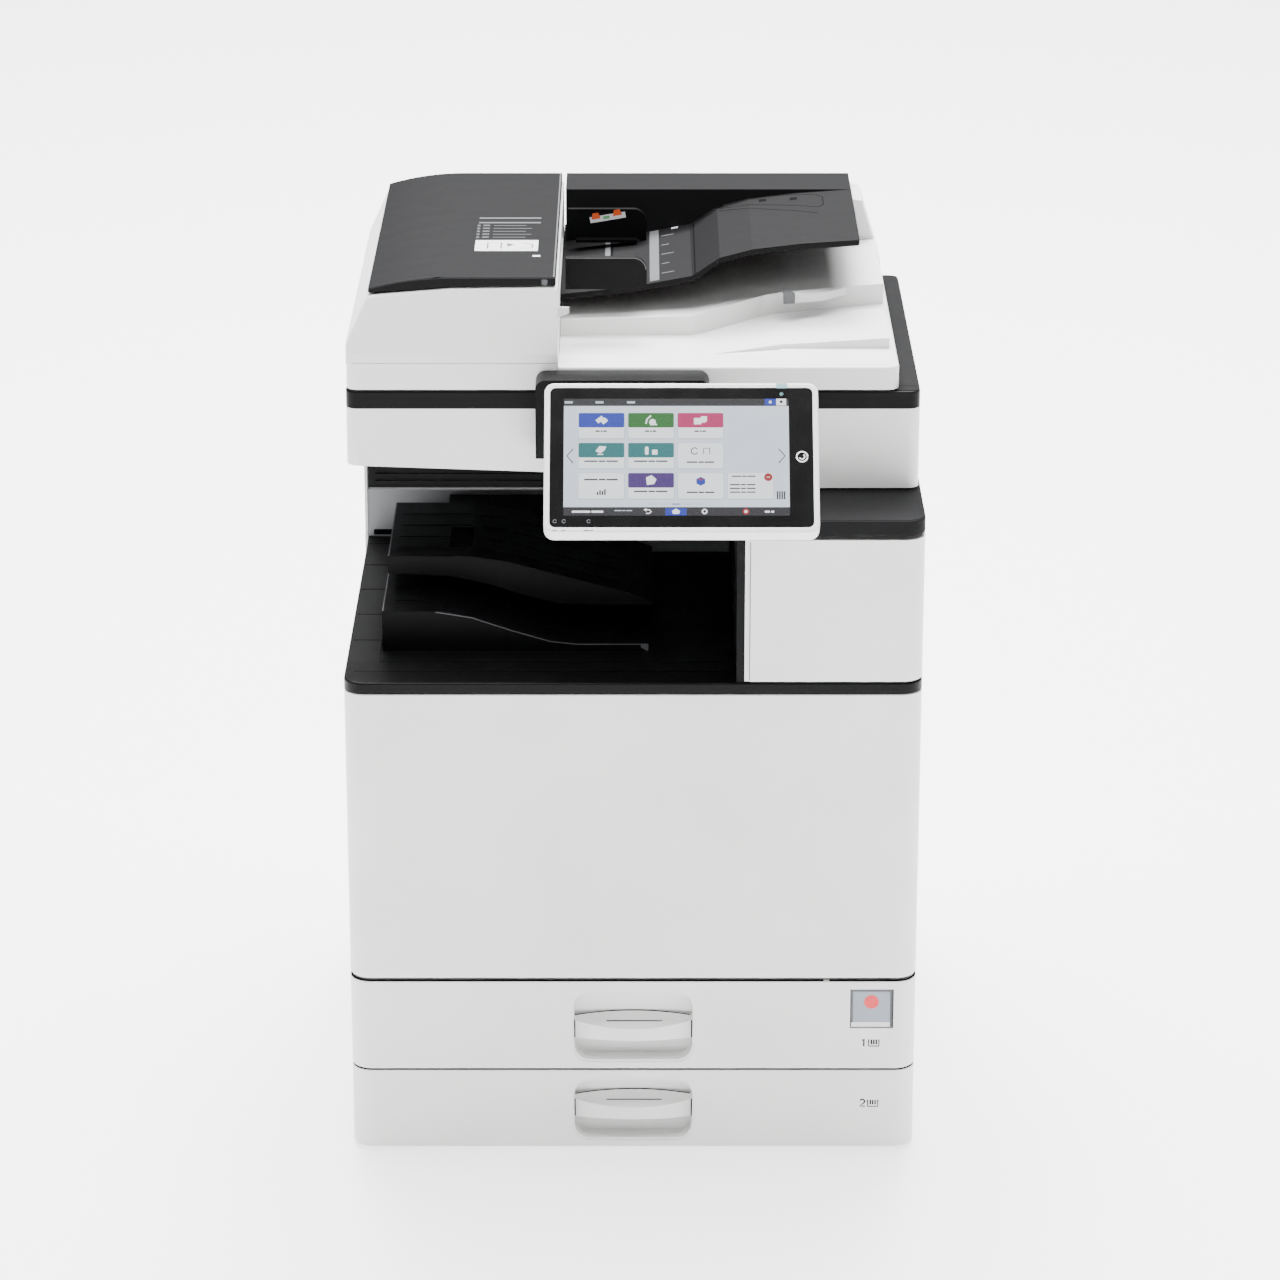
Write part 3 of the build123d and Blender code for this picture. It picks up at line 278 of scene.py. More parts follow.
def rounded(u, v, radius=0.0, steps=5):
    """A rectangle between two u and two v values, with round corners."""
    if radius <= 0:
        return [(u[0], v[0]), (u[1], v[0]), (u[1], v[1]), (u[0], v[1])]
    centres = [
        (u[1] - radius, v[0] + radius, -90),
        (u[1] - radius, v[1] - radius, 0),
        (u[0] + radius, v[1] - radius, 90),
        (u[0] + radius, v[0] + radius, 180),
    ]
    points = []
    for cu, cv, start in centres:
        for step in range(steps + 1):
            angle = radians(start + 90 * step / steps)
            points.append((cu + radius * cos(angle), cv + radius * sin(angle)))
    return points


def disc(centre, radius, steps=32):
    turn = [2 * pi * i / steps for i in range(steps)]
    return [(centre[0] + radius * cos(a), centre[1] + radius * sin(a)) for a in turn]


def arc(centre, radius, start, end, steps=14):
    """Points along part of a circle, angles in degrees."""
    turn = [radians(start + (end - start) * i / steps) for i in range(steps + 1)]
    return [(centre[0] + radius * cos(a), centre[1] + radius * sin(a)) for a in turn]


def stroke(points, width):
    """The outline of a line of even width along the points."""
    left = []
    right = []
    for i, point in enumerate(points):
        before = Vector(points[max(i - 1, 0)])
        after = Vector(points[min(i + 1, len(points) - 1)])
        along = (after - before).normalized()
        side = Vector((-along.y, along.x)) * width / 2
        here = Vector(point)
        left.append(tuple(here + side))
        right.append(tuple(here - side))
    return left + right[::-1]


def moved(outline, by):
    return [(u + by[0], v + by[1]) for u, v in outline]


THREE_WORDS = (0.42, 0.22, 0.36)  # each bar's share of the line
TWO_WORDS = (0.6, 0.4)


def words(face, centre, width, height, material, high=0.12, shares=THREE_WORDS):
    """A line of made-up writing: short bars that stand where words would."""
    gap = height * 0.5
    start = centre[0] - width / 2
    rows = (centre[1] - height / 2, centre[1] + height / 2)
    for share in shares:
        length = width * share - gap
        face.add(rounded((start, start + length), rows, height * 0.3, 2), material, high)
        start += width * share


half_width = cad_box[1].x / MM
body_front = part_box("front_door")[0].y
body_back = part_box("rear_cover")[1].y
X_AXIS = (1, 0, 0)
Y_AXIS = (0, 1, 0)
Z_AXIS = (0, 0, 1)


def depth_of(y):
    """How far behind the body's front a place is, in mm."""
    return (y - body_front) / MM


def front_face(name, depth=0.0):
    """A face that looks forwards, this far behind the body's front: u is x and v is z."""
    return Flat(name, (0, body_front + depth * MM, 0), X_AXIS, Z_AXIS)


def top_face(name, z):
    """A face that looks up: u is x and v is the depth behind the body's front."""
    return Flat(name, (0, body_front, z * MM), X_AXIS, Y_AXIS)


def right_face(name, node):
    """The right-hand face of a node: u is the depth behind the body's front and v is z."""
    return Flat(name, (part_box(node)[1].x, body_front, 0), Y_AXIS, Z_AXIS)


def back_face(name):
    """The face that looks backwards: u is -x and v is z."""
    return Flat(name, (0, body_back, 0), (-1, 0, 0), Z_AXIS)


# ---- operation panel ----
ink = moulded("ink_black", srgb(20, 21, 23), 0.5, relief=0.0, shine=0.1)
ink_white = moulded("ink_white", srgb(214, 215, 216), 0.5, relief=0.0)
# This grey is print, and on the power window it is also painted shade along the recess's right edge.
grey_ink_and_painted_shade = moulded("grey_ink_and_painted_shade", srgb(84, 86, 88), 0.5, relief=0.0, shine=0.1)
ink_orange = moulded("ink_orange", srgb(216, 84, 22), 0.5, relief=0.0)
ink_teal = moulded("ink_teal", srgb(60, 104, 108), 0.5, relief=0.0)
seam = moulded("seam_dark", srgb(6, 6, 7), 0.7, relief=0.0, shine=0.03)
# A mid grey: painted highlights along the edges of dark parts, painted shade along the edges of the power
# window's recess, and grey printed lines.
edge_highlight_shade_and_grey_print = moulded("edge_highlight_shade_and_grey_print", srgb(92, 93, 95), 0.4, relief=0.0, shine=0.2)

LIGHT = 1.7  # strength of the screen's white areas
TINTED = 0.75  # and of its coloured ones
screen = {
    "wallpaper": lit("screen_wallpaper", srgb(212, 221, 233), LIGHT, low=0.9),
    "white": lit("screen_white", srgb(240, 243, 247), LIGHT),
    "black": lit("screen_black", srgb(3, 3, 4), LIGHT),
    "bar": lit("screen_bar", srgb(10, 11, 13), LIGHT),
    "blue": lit("screen_blue", srgb(4, 62, 226), TINTED),
    "green": lit("screen_green", srgb(4, 140, 8), TINTED),
    "magenta": lit("screen_magenta", srgb(246, 16, 130), TINTED),
    "teal": lit("screen_teal", srgb(4, 146, 148), TINTED),
    "purple": lit("screen_purple", srgb(84, 22, 146), TINTED),
    "red": lit("screen_red", srgb(214, 22, 30), TINTED),
    "orange": lit("screen_orange", srgb(230, 100, 20), TINTED),
    "ink": lit("screen_ink", srgb(34, 38, 46), LIGHT),
    "rule": lit("screen_rule", srgb(176, 186, 198), LIGHT),
    "sky": lit("screen_sky", srgb(178, 226, 238), LIGHT),
}

PANEL_LEAN = radians(41)  # the face leans this far back from upright
glass_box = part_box("panel_glass")
PANEL_UP = (0, sin(PANEL_LEAN), cos(PANEL_LEAN))
PANEL_OUT = Vector((0, -cos(PANEL_LEAN), sin(PANEL_LEAN)))
GLASS_HALF_THICK = 0.85 * MM
glass_face = (glass_box[0] + glass_box[1]) / 2 + PANEL_OUT * GLASS_HALF_THICK

SCREEN_U = (-116.1, 106.1)
SCREEN_V = (-53.3, 55.3)
TILE = (44.9, 27.3)
TILE_PITCH = (48.9, 32.3)
TILE_CORNER = (-101.4, 47.6)  # top left corner of the first tile
HEADER = 15.6
STATUS_TOP = 63.1  # upper edge of the dark bar over the picture
FOOT_LOW = -62.4  # lower edge of the dark bar under it
STATUS_TABS = (55.9, STATUS_TOP)
FOOT_LINE = -58.0  # height of the marks in the lower bar
LEVELS = {"paper": 0.06, "tile": 0.1, "header": 0.14, "mark": 0.18}

display = Flat("screen_image", glass_face, X_AXIS, PANEL_UP)
display.add(rounded(SCREEN_U, SCREEN_V), screen["wallpaper"], LEVELS["paper"])
display.add(rounded(SCREEN_U, (SCREEN_V[1] + 0.1, STATUS_TOP)), screen["black"], LEVELS["paper"])
display.add(rounded(SCREEN_U, (FOOT_LOW, SCREEN_V[0] - 0.1)), screen["bar"], LEVELS["paper"])
for start in (SCREEN_U[0], -85.6, -54.4):
    display.add(rounded((start + 0.6, start + 8.6), (58.0, 60.4), 0.5, 2), screen["rule"], LEVELS["tile"])
display.add(rounded((82.5, 93.6), STATUS_TABS), screen["blue"], LEVELS["tile"])
display.add(rounded((93.9, 103.7), STATUS_TABS), screen["white"], LEVELS["tile"])
display.add(disc((88, 59.5), 1.5, 12), screen["white"], LEVELS["header"])
display.add(disc((98.8, 59.8), 1.6, 12), screen["ink"], LEVELS["header"])


def tile(row, column, header=None):
    """One button of the home screen; gives back its top left corner."""
    u = TILE_CORNER[0] + TILE_PITCH[0] * column
    v = TILE_CORNER[1] - TILE_PITCH[1] * row
    shadow = rounded((u - 0.4, u + TILE[0] + 0.5), (v - TILE[1] - 0.9, v + 0.2), 1.6, 3)
    display.add(shadow, screen["rule"], LEVELS["paper"] + 0.01)
    display.add(rounded((u, u + TILE[0]), (v - TILE[1], v), 1.6, 3), screen["white"], LEVELS["tile"])
    if header:
        top = rounded((u, u + TILE[0]), (v - HEADER, v), 1.4, 3)
        display.add(top, screen[header], LEVELS["header"])
    return u, v


def glyph(outlines, centre, color):
    for outline in outlines:
        display.add(moved(outline, centre), screen[color], LEVELS["mark"])


SHEETS = [
    [(-6, 0), (0, 5), (3, 1.5), (-3, -3.5)],
    [(-1, -1), (3.5, 3), (6.5, -0.5), (2, -4.5)],
]
SCAN_MARK = [
    stroke([(-5, -4), (-4, 1), (0, 5)], 1.6),
    disc((1.5, -2), 3.4, 16),
    rounded((-1, 6), (-5.4, -3.8)),
]
SEND_MARK = [
    rounded((-6.5, 1), (-4.5, 2.5), 0.6, 2),
    disc((3, 0.8), 3.6, 18),
    rounded((0.5, 6.5), (2, 4.4), 0.6, 2),
]
HAND_MARK = [
    [(-6, -1), (-2, 4.6), (5, 4), (3, -0.2), (-1, -3.6)],
    rounded((-4, 2), (-5, -3.9), 0.4, 2),
]
MEMORY_MARK = [rounded((-6, -2.4), (-5, 4), 1.6, 3), rounded((1, 6.4), (-4.8, 0.6), 0.6, 2)]
COPY_MARK = [[(-4, -5), (-5, 3), (0.5, 5.6), (5.4, 1), (3, -4)]]
HEADS = (
    (0, 0, "blue", SHEETS),
    (0, 1, "green", SCAN_MARK),
    (0, 2, "magenta", SEND_MARK),
    (1, 0, "teal", HAND_MARK),
    (1, 1, "teal", MEMORY_MARK),
    (2, 1, "purple", COPY_MARK),
)
for row, column, color, outlines in HEADS:
    u, v = tile(row, column, color)
    glyph(outlines, (u + TILE[0] / 2, v - HEADER / 2), "white")
    caption = 12.0 if row == 0 else 34.0
    words(display, (u + TILE[0] / 2, v - HEADER - 4.0), caption, 1.5, screen["ink"], LEVELS["mark"])
for row, column in ((1, 2), (2, 0), (2, 2), (2, 3)):
    u, v = tile(row, column)
    middle = u + TILE[0] / 2
    if column == 3:
        badge = (u + 40.0, v - 4.4)
        glyph([disc((0, 0), 4.2, 24)], badge, "red")
        glyph([stroke([(-1.6, 0), (1.6, 0)], 0.9)], badge, "white")
        words(display, (u + 16.0, v - 3.4), 24.0, 1.3, screen["ink"], LEVELS["mark"])
        for line in range(3):
            words(display, (u + 15.0, v - 12.4 - 4.0 * line), 26.0, 1.3, screen["ink"], LEVELS["mark"])
    elif row == 2 and column == 0:
        words(display, (middle, v - 7.0), 34.0, 1.6, screen["ink"], LEVELS["mark"])
        for bar, tall in enumerate((3.2, 5.0, 4.2, 6.2)):
            span = (middle - 4.4 + 2.4 * bar, middle - 2.8 + 2.4 * bar)
            display.add(rounded(span, (v - 23.4, v - 23.4 + tall)), screen["ink"], LEVELS["mark"])
    else:
        words(display, (middle, v - 20.6), 28.0, 1.5, screen["ink"], LEVELS["mark"])
        if row == 2:
            cube = [(0, 4.6), (4.4, 2.2), (4.4, -2.6), (0, -5), (-4.4, -2.6), (-4.4, 2.2)]
            glyph([cube], (middle, v - 8.6), "blue")
            glyph([[(0, 4.2), (3.8, 2.2), (0, 0.2), (-3.8, 2.2)]], (middle, v - 8.4), "orange")
        else:
            glyph([stroke(arc((0, 0), 3.4, 30, 330), 1.0)], (middle - 6, v - 8.6), "ink")
            glyph([stroke([(-3, -3), (-3, 3), (3, 3), (3, -3)], 0.9)], (middle + 6, v - 8.6), "ink")

for open_end, point in ((-106.8, -113.0), (95.8, 102.0)):
    chevron = [(open_end, 9.0), (point, 1.4), (open_end, -6.2)]
    display.add(stroke(chevron, 1.1), screen["ink"], LEVELS["tile"])
for dash in range(5):
    start = -32.4 + 11.4 * dash
    look = screen["blue" if dash == 2 else "rule"]
    display.add(rounded((start, start + 8.4), (-50.6, -49.6), 0.4, 2), look, LEVELS["tile"])
for column in range(4):
    start = 93.4 + 2.3 * column
    display.add(rounded((start, start + 1.5), (-45.0, -36.4)), screen["ink"], LEVELS["tile"])
words(display, (-91.8, -58.2), 32.0, 2.2, screen["white"], LEVELS["tile"], shares=TWO_WORDS)
words(display, (-57.0, -57.0), 18.0, 1.1, screen["rule"], LEVELS["tile"])
words(display, (86.6, -58.2), 10.4, 2.2, screen["white"], LEVELS["tile"], shares=TWO_WORDS)
display.add(rounded((-16.1, 4.9), (-62.2, -54.4), 0.6, 2), screen["blue"], LEVELS["tile"])
home = [(-9.6, -57.4), (-5.6, -54.9), (-1.6, -57.4), (-2.6, -60.6), (-8.6, -60.6)]
display.add(home, screen["white"], LEVELS["mark"])
back = [(-35.6, -56.2), (-31.4, -56.2), (-29.8, -58.2), (-31.6, -60.0), (-35, -60.0)]
display.add(stroke(back, 1.1), screen["white"], LEVELS["tile"])
display.add([(-37.4, -56.2), (-34.6, -54.4), (-34.6, -58.0)], screen["white"], LEVELS["mark"])
display.add(disc((22.5, FOOT_LINE), 2.9, 20), screen["white"], LEVELS["tile"])
display.add(disc((22.5, FOOT_LINE), 1.5, 16), screen["bar"], LEVELS["mark"])
display.add(disc((63.0, FOOT_LINE), 3.3, 20), screen["red"], LEVELS["tile"])
display.add(rounded((61.6, 64.4), (-59.4, -56.6)), screen["white"], LEVELS["mark"])
display.done("panel", "screen_glass")

HOME_KEY = (118.8, 0.6)
TOUCH_MARKS = ((-124.4, 4.6), (-115.6, 4.6), (-91.2, 9.6))  # place and width of the line below

marks = Flat("panel_marks", glass_face, X_AXIS, PANEL_UP)
marks.add(stroke(arc(HOME_KEY, 5.4, 0, 350, 28), 1.5), ink_white)
marks.add(stroke(arc(HOME_KEY, 2.6, 200, 420, 14), 1.2), ink_white)
marks.add(disc((99.1, 68.2), 1.9), ink_teal)
for u, _ in TOUCH_MARKS:
    marks.add(stroke(arc((u, -68.4), 1.7, 20, 340, 12), 0.9), grey_ink_and_painted_shade)
marks.done("panel", "white_plastic")

rim = Flat("panel_lamp", glass_face, X_AXIS, PANEL_UP)
rim.add(rounded((93.9, 105.2), (74.6, 79.4), 0.8, 3), screen["sky"], high=0.62)
rim.done("panel", "white_plastic")

rim_marks = Flat("panel_rim_marks", glass_face, X_AXIS, PANEL_UP)
for u, wide in TOUCH_MARKS:
    words(rim_marks, (u, -78.2), wide, 0.9, grey_ink_and_painted_shade, high=0.42, shares=TWO_WORDS)
rim_marks.done("panel", "white_plastic")

# ---- drawers and the power window ----
GRIP_LOW = {1: 125.0, 2: 35.0}
GRIP_BROW = 12.0  # height of the grip's front edge
GRIP_RUN = 21.0  # the grip's top runs back this far
GRIP_RISE = 15.0  # and climbs this much
MARK_HIGH = 0.06  # mm that the printed marks stand out
DIGITS = {
    1: [[(237.6, 126.2), (239.8, 127.8), (239.8, 119.6)]],
    2: [arc((239.2, 56.4), 2.4, 160, -40, 8) + [(236.8, 50.9), (242.0, 50.9)]],
}
ICON_Z = {1: 119.8, 2: 50.8}

for number in (1, 2):
    drawer = f"drawer_{number}"
    low = GRIP_LOW[number]
    slope = Vector((0, GRIP_RUN, GRIP_RISE)).normalized()
    grip_top = Flat(f"{drawer}_grip_lines", (0, body_front, (low + GRIP_BROW) * MM), X_AXIS, slope)
    grip_top.add(rounded((-28, 30), (11.6, 12.8), 0.6, 3), seam, high=0.1)
    along = (GRIP_RUN**2 + GRIP_RISE**2) ** 0.5 / GRIP_RUN
    crest = [(x, (20.4 - 4.8 * (x / 61) ** 2) * along) for x in range(-61, 62, 6)]
    grip_top.add(stroke(crest, 1.1), seam, high=0.2)
    grip_top.done(drawer, "black_plastic")
    gaps = front_face(f"{drawer}_grip_gaps", 11.0)
    for side in (-1, 1):
        span = sorted((side * 60.2, side * 61.6))
        gaps.add(rounded(span, (low, low + 19.5)), seam, high=0.9)
    gaps.done(drawer, "black_plastic")
    mark = front_face(f"{drawer}_marks")
    for line in DIGITS[number]:
        mark.add(stroke(line, 1.7), ink, high=MARK_HIGH)
    low = ICON_Z[number]
    frame_line = [(244.8, low + 7.6), (244.8, low), (255.4, low), (255.4, low + 7.6)]
    mark.add(stroke(frame_line, 1.5), ink, high=MARK_HIGH)
    for bar in range(3):
        start = 246.8 + 2.5 * bar
        mark.add(rounded((start, start + 1.7), (low + 2, low + 7.4)), ink, high=MARK_HIGH)
    mark.done(drawer, "black_plastic")

SEAM_INSET = 1.3  # mm behind the covers' outer faces
SEAM_CORNER = 20.7


def seam_band(name, z, spans, height, body):
    """A dark line in the gap over a drawer's front, following its rounded corners."""
    face = top_face(name, z)
    reach = half_width - SEAM_INSET
    bend = reach - SEAM_CORNER
    deep = SEAM_INSET + SEAM_CORNER
    for start, end in spans:
        middle = [(start, SEAM_INSET), (end, SEAM_INSET)]
        if start <= -bend:
            middle = arc((-bend, deep), SEAM_CORNER, 180, 270, 8) + middle[1:]
        if end >= bend:
            middle = middle[:-1] + arc((bend, deep), SEAM_CORNER, -90, 0, 8)
        face.add(stroke(middle, 1.6), seam, high=height)
    face.done(body, "black_plastic")


seam_band("drawer_1_seam", 193.0, ((-half_width, 197.0), (203.0, half_width)), 1.5, "drawer_1")
seam_band("drawer_2_seam", 92.5, ((-half_width, half_width),), 1.2, "drawer_2")

window_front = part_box("power_flap")[0].y
# Red disc: the dot on the flap. The grey bars along the window's right, left and top edges are painted
# shade of the recess the flap sits in; a white strip runs along its foot.
window = Flat("power_window_dot_and_painted_shade", (0, window_front, 0), X_AXIS, Z_AXIS)
window.add(disc((247, 169.4), 7.6), slot_materials["signal_red"], high=0.1)
window.add(rounded((266.4, 268.9), (141.4, 182.6)), grey_ink_and_painted_shade, high=0.1)
window.add(rounded((226.2, 228.0), (146, 182.6)), edge_highlight_shade_and_grey_print, high=0.1)
window.add(rounded((226.2, 268.9), (180.9, 182.7)), edge_highlight_shade_and_grey_print, high=0.12)
window.add(rounded((226.2, 266.4), (141.2, 146.4)), ink_white, high=0.1)
window.done("power_flap", "signal_red")

# ---- right-hand wing and scanner ----
wing_line = front_face("wing_front_seam")
wing_line.add(rounded((117.3, 118.1), (525, 672)), grey_ink_and_painted_shade, high=0.05)
wing_line.done("frame", "grey_plastic")

cap_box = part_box("wing_cap")
cap_plate = top_face("wing_cap_plate", cap_box[1].z / MM)
cap_left = cap_box[0].x / MM + 1.2
cap_right = half_width - 1.6
CAP_ROUND = 20.0
CAP_FRONT = 2.4
CAP_BACK = 545
cap_outline = [(cap_left, CAP_FRONT)]
cap_outline += arc((cap_right - CAP_ROUND, CAP_FRONT + CAP_ROUND), CAP_ROUND, -90, 0, 10)
cap_outline += [(cap_right, CAP_BACK), (cap_left, CAP_BACK)]
cap_plate.add(cap_outline, slot_materials["dark_plastic"], high=0.5)
cap_plate.done("frame", "dark_plastic")

scanner_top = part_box("scanner_frame")[1].z / MM
strip = top_face("scanner_side_strip", scanner_top)
STRIP_X = (264.8, 289.2)
strip.add(rounded(STRIP_X, (104, 546), 5), slot_materials["dark_plastic"], high=0.4)
strip.add(rounded(STRIP_X, (119, 120.2)), seam, high=0.44)
strip.done("frame", "dark_plastic")

# ---- document feeder ----
COVER_TOP = cad_box[1].z / MM
COVER_LEFT = -266.0
COVER_BEND = -185.0
COVER_RIGHT = -78.6
COVER_RADIUS = 286.2  # of the curve down to the cover's left edge
COVER_FRONT = 120.0


def cover_height(x):
    """Height of the feeder cover's top over x."""
    if x >= COVER_BEND:
        return COVER_TOP
    return COVER_TOP - COVER_RADIUS + (COVER_RADIUS**2 - (x - COVER_BEND) ** 2) ** 0.5


trim_x = [COVER_LEFT + 9 * i for i in range(10)] + [-176.0, -150.0, -110.0, COVER_RIGHT]
trim = front_face("feeder_cover_trim", COVER_FRONT)
trim_top = [(x, cover_height(x) - 0.9) for x in trim_x]
trim_foot = [(COVER_RIGHT, 904.6), (COVER_BEND, 903.6), (COVER_LEFT, 897.6)]
trim.add(trim_top[::-1] + trim_foot[::-1], slot_materials["black_plastic"], high=1.6)
trim.add(rounded((-92, -86), (905.4, 911.2), 1, 2), grey_ink_and_painted_shade, high=1.8)
trim.done("feeder_cover", "black_plastic")

label = top_face("feeder_cover_label_and_edge_highlight", COVER_TOP)
# A painted highlight along the cover's right-hand edge; the lines after it are print.
label.add(rounded((-80.4, -79.0), (122, 552)), edge_highlight_shade_and_grey_print, high=0.1)
for depth in (357, 338):
    label.add(rounded((-162, -97), (depth - 2.6, depth + 2.6)), edge_highlight_shade_and_grey_print, high=0.1)
for line in range(5):
    depth = 326 - 12 * line
    label.add(rounded((-163, -160), (depth - 3, depth + 3)), grey_ink_and_painted_shade, high=0.1)
    label.add(rounded((-157, -150), (depth - 2, depth + 3)), grey_ink_and_painted_shade, high=0.1)
    label.add(rounded((-146, -112 + 6 * (line % 2)), (depth - 1, depth + 1)), grey_ink_and_painted_shade, high=0.1)
label.add(rounded((-163, -98), (223, 266)), ink_white, high=0.1)
label.add(stroke([(-150, 232), (-150, 256), (-136, 256), (-136, 232)], 1.6), grey_ink_and_painted_shade, high=0.14)
label.add([(-130, 240), (-122, 247), (-130, 254)], grey_ink_and_painted_shade, high=0.14)
label.add(stroke([(-118, 234), (-104, 234), (-104, 250), (-114, 256)], 1.6), grey_ink_and_painted_shade, high=0.14)
label.add(rounded((-103, -95), (200, 206), 1, 2), ink_white, high=0.1)
label.done("feeder_cover", "dark_plastic")

latch = front_face("feeder_latch_tab", 126.0)
latch_outline = [(-76.4, 870.5), (-70.0, 872.0), (-64.6, 874.6), (-64.6, 880.6), (-76.4, 880.9)]
latch.add(latch_outline, ink_white, high=2.2)
latch.done("feeder", "white_plastic")

# ---- input tray: its printed scale, slots and seams follow the slope ----
TRAY_TOP = [(-75.5, 855), (0, 863), (61, 874.5), (90, 894), (124, 903), (174, 909), (235, 913)]
TRAY_BACK = 479


def tray_height(x):
    for (x0, z0), (x1, z1) in zip(TRAY_TOP, TRAY_TOP[1:]):
        if x <= x1:
            return z0 + (z1 - z0) * (x - x0) / (x1 - x0)
    return TRAY_TOP[-1][1]


class Sloped(Flat):
    """Details on the input tray: heights follow the tray's top."""

    def place(self, point, height):
        z = tray_height(point[0]) + height
        return Vector((point[0] * MM, body_front + point[1] * MM, z * MM))


def sloped_line(face, points, width, material, high=0.12):
    """A line cut into short lengths, so that it follows the slope."""
    for (x0, d0), (x1, d1) in zip(points, points[1:]):
        parts = max(1, int(abs(x1 - x0) // 6))
        for part in range(parts):
            start = (x0 + (x1 - x0) * part / parts, d0 + (d1 - d0) * part / parts)
            end = (x0 + (x1 - x0) * (part + 1) / parts, d0 + (d1 - d0) * (part + 1) / parts)
            face.add(stroke([start, end], width), material, high)


tray = Sloped("input_tray_marks", (0, 0, 0), X_AXIS, Y_AXIS)
tray.add(rounded((17.4, 27.2), (275, TRAY_BACK)), edge_highlight_shade_and_grey_print)
for tick in range(5):
    depth = 450 - 38 * tick
    tray.add(rounded((30, 43 - 5 * (tick % 2)), (depth, depth + 2.6)), grey_ink_and_painted_shade)
sloped_line(tray, [(64.5, 268), (64.5, 478)], 1.3, seam)
sloped_line(tray, [(66, 478), (130, 434), (196, 389)], 1.1, seam)
wing_seam = [(70, 479), (136, 448), (198, 414), (203, 424), (203, 458), (196, 468), (150, 480)]
sloped_line(tray, wing_seam, 1.1, seam)
for x, depth in ((93, 477), (139, 465), (172, 457)):
    tray.add(rounded((x - 4, x + 4), (depth - 5, depth + 5), 1, 2), seam, high=0.18)
tray.add(rounded((41, 48), (474, 480)), ink_white)
tray.add(rounded((-30, -24.6), (380, TRAY_BACK)), edge_highlight_shade_and_grey_print)
tray.add(rounded((-24.6, -21.6), (380, TRAY_BACK)), seam, high=0.16)
tray.done("feeder", "dark_plastic")

RIM_DROP = 6.0
RIM_RIGHT = TRAY_TOP[-1][0] - 1.5
rim_line = front_face("input_tray_rim", 267.0)
tray_front = [(x, z - RIM_DROP) for x, z in TRAY_TOP[::-1]] + [(x, z - 0.8) for x, z in TRAY_TOP]
rim_outline = [(min(x, RIM_RIGHT), z) for x, z in tray_front][::-1]
rim_line.add(rim_outline, slot_materials["black_plastic"], high=0.3)
rim_line.done("feeder", "black_plastic")

note = Flat("rear_guide_label", (0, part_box("rear_guide")[1].y - 6.3 * MM, 0), X_AXIS, Z_AXIS)
LABEL_TILT = 0.17
LABEL_CORNER = (-46.0, 884.5)


def tilted(outline):
    """A label outline moved to its place and turned with the label's slant."""
    x, z = LABEL_CORNER
    return [(x + u - v * LABEL_TILT, z + v + u * LABEL_TILT) for u, v in outline]


note.add(tilted(rounded((0, 38), (0, 6.4))), ink_white, high=0.12)
for start, tall in ((2, 5.4), (25, 5.2)):
    note.add(tilted(rounded((start + 1, start + 8.4), (4.6, 4.6 + tall), 1.6, 3)), ink_orange, high=0.18)
    note.add(tilted(rounded((start, start + 9.4), (3.6, 6.0))), ink_orange, high=0.2)
ink_green = moulded("ink_green", srgb(96, 166, 110), 0.5, relief=0.0)
note.add(tilted(rounded((14, 21), (2, 5.2), 1, 2)), ink_green, high=0.18)
note.done("rear_guide", "white_plastic")

# A painted highlight along the front guide's top edge and down round its end.
guide_edge = Flat("front_guide_edge", (0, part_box("front_guide")[0].y, 0), X_AXIS, Z_AXIS)
edge_points = [(-69.4, 899.2), (-0.2, 899.2)] + arc((0.0, 886.0), 13.3, 88, 4, 10)
guide_edge.add(stroke(edge_points, 1.0), edge_highlight_shade_and_grey_print, high=0.15)
guide_edge.done("front_guide", "black_plastic")

# ---- document exit tray: folded stop ----
stop = top_face("paper_stop", 0)
SHELF_Z = 851.0
stop_foot = SHELF_Z - 2
stop.add([(156, 252), (196, 262), (222, 286), (160, 270)], ink_white, high=SHELF_Z + 6.0, low=stop_foot)
stop.add([(156, 250), (168, 252), (162, 270), (156, 268)], edge_highlight_shade_and_grey_print, high=SHELF_Z + 9.0, low=stop_foot)
stop.done("feeder", "white_plastic")

# ---- paper exit space ----
lower = front_face("lower_exit_tray_edge", depth_of(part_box("lower_exit_tray")[0].y))
LOWER_TOP = [(-257.6, 565), (-203, 565), (-166, 559), (-125, 545), (-85, 533), (-58, 530), (15.6, 530)]
# Painted highlights along the tray's top front edge and on its right-hand corner.
lower.add(stroke([(x, z - 0.7) for x, z in LOWER_TOP[1:]], 1.0), edge_highlight_shade_and_grey_print, high=0.3)
lower.add([(8, 526), (15.6, 521.6), (15.8, 529.4), (8, 529.6)], edge_highlight_shade_and_grey_print, high=0.5)
lower.done("frame", "black_plastic")

upper = front_face("upper_exit_tray_edge", depth_of(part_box("upper_exit_tray")[0].y))
UPPER_TOP = [(-254.6, 600), (-170, 600), (-130, 594), (-86, 582), (-45, 571), (-1, 559), (19.6, 550)]
upper.add(stroke([(x, z - 0.8) for x, z in UPPER_TOP], 0.9), slot_materials["dark_plastic"], high=0.3)
upper.done("frame", "black_plastic")

# each exit tray's left edge: depth where it starts, distance from the tray's back, x and z
TRAY_EDGES = {
    "lower": (97, 2, -257.4, 565),
    "upper": (171, 68, -254.4, 600),
}
for tray_name, (start, back_gap, edge_x, edge_z) in TRAY_EDGES.items():
    outline = top_face(f"{tray_name}_exit_tray_outline", edge_z)
    depth_end = depth_of(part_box(f"{tray_name}_exit_tray")[1].y) - back_gap
    # A painted highlight along each tray's left edge.
    outline.add(rounded((edge_x - 0.4, edge_x + 0.6), (start, depth_end)), edge_highlight_shade_and_grey_print, high=0.2)
    outline.done("frame", "black_plastic")


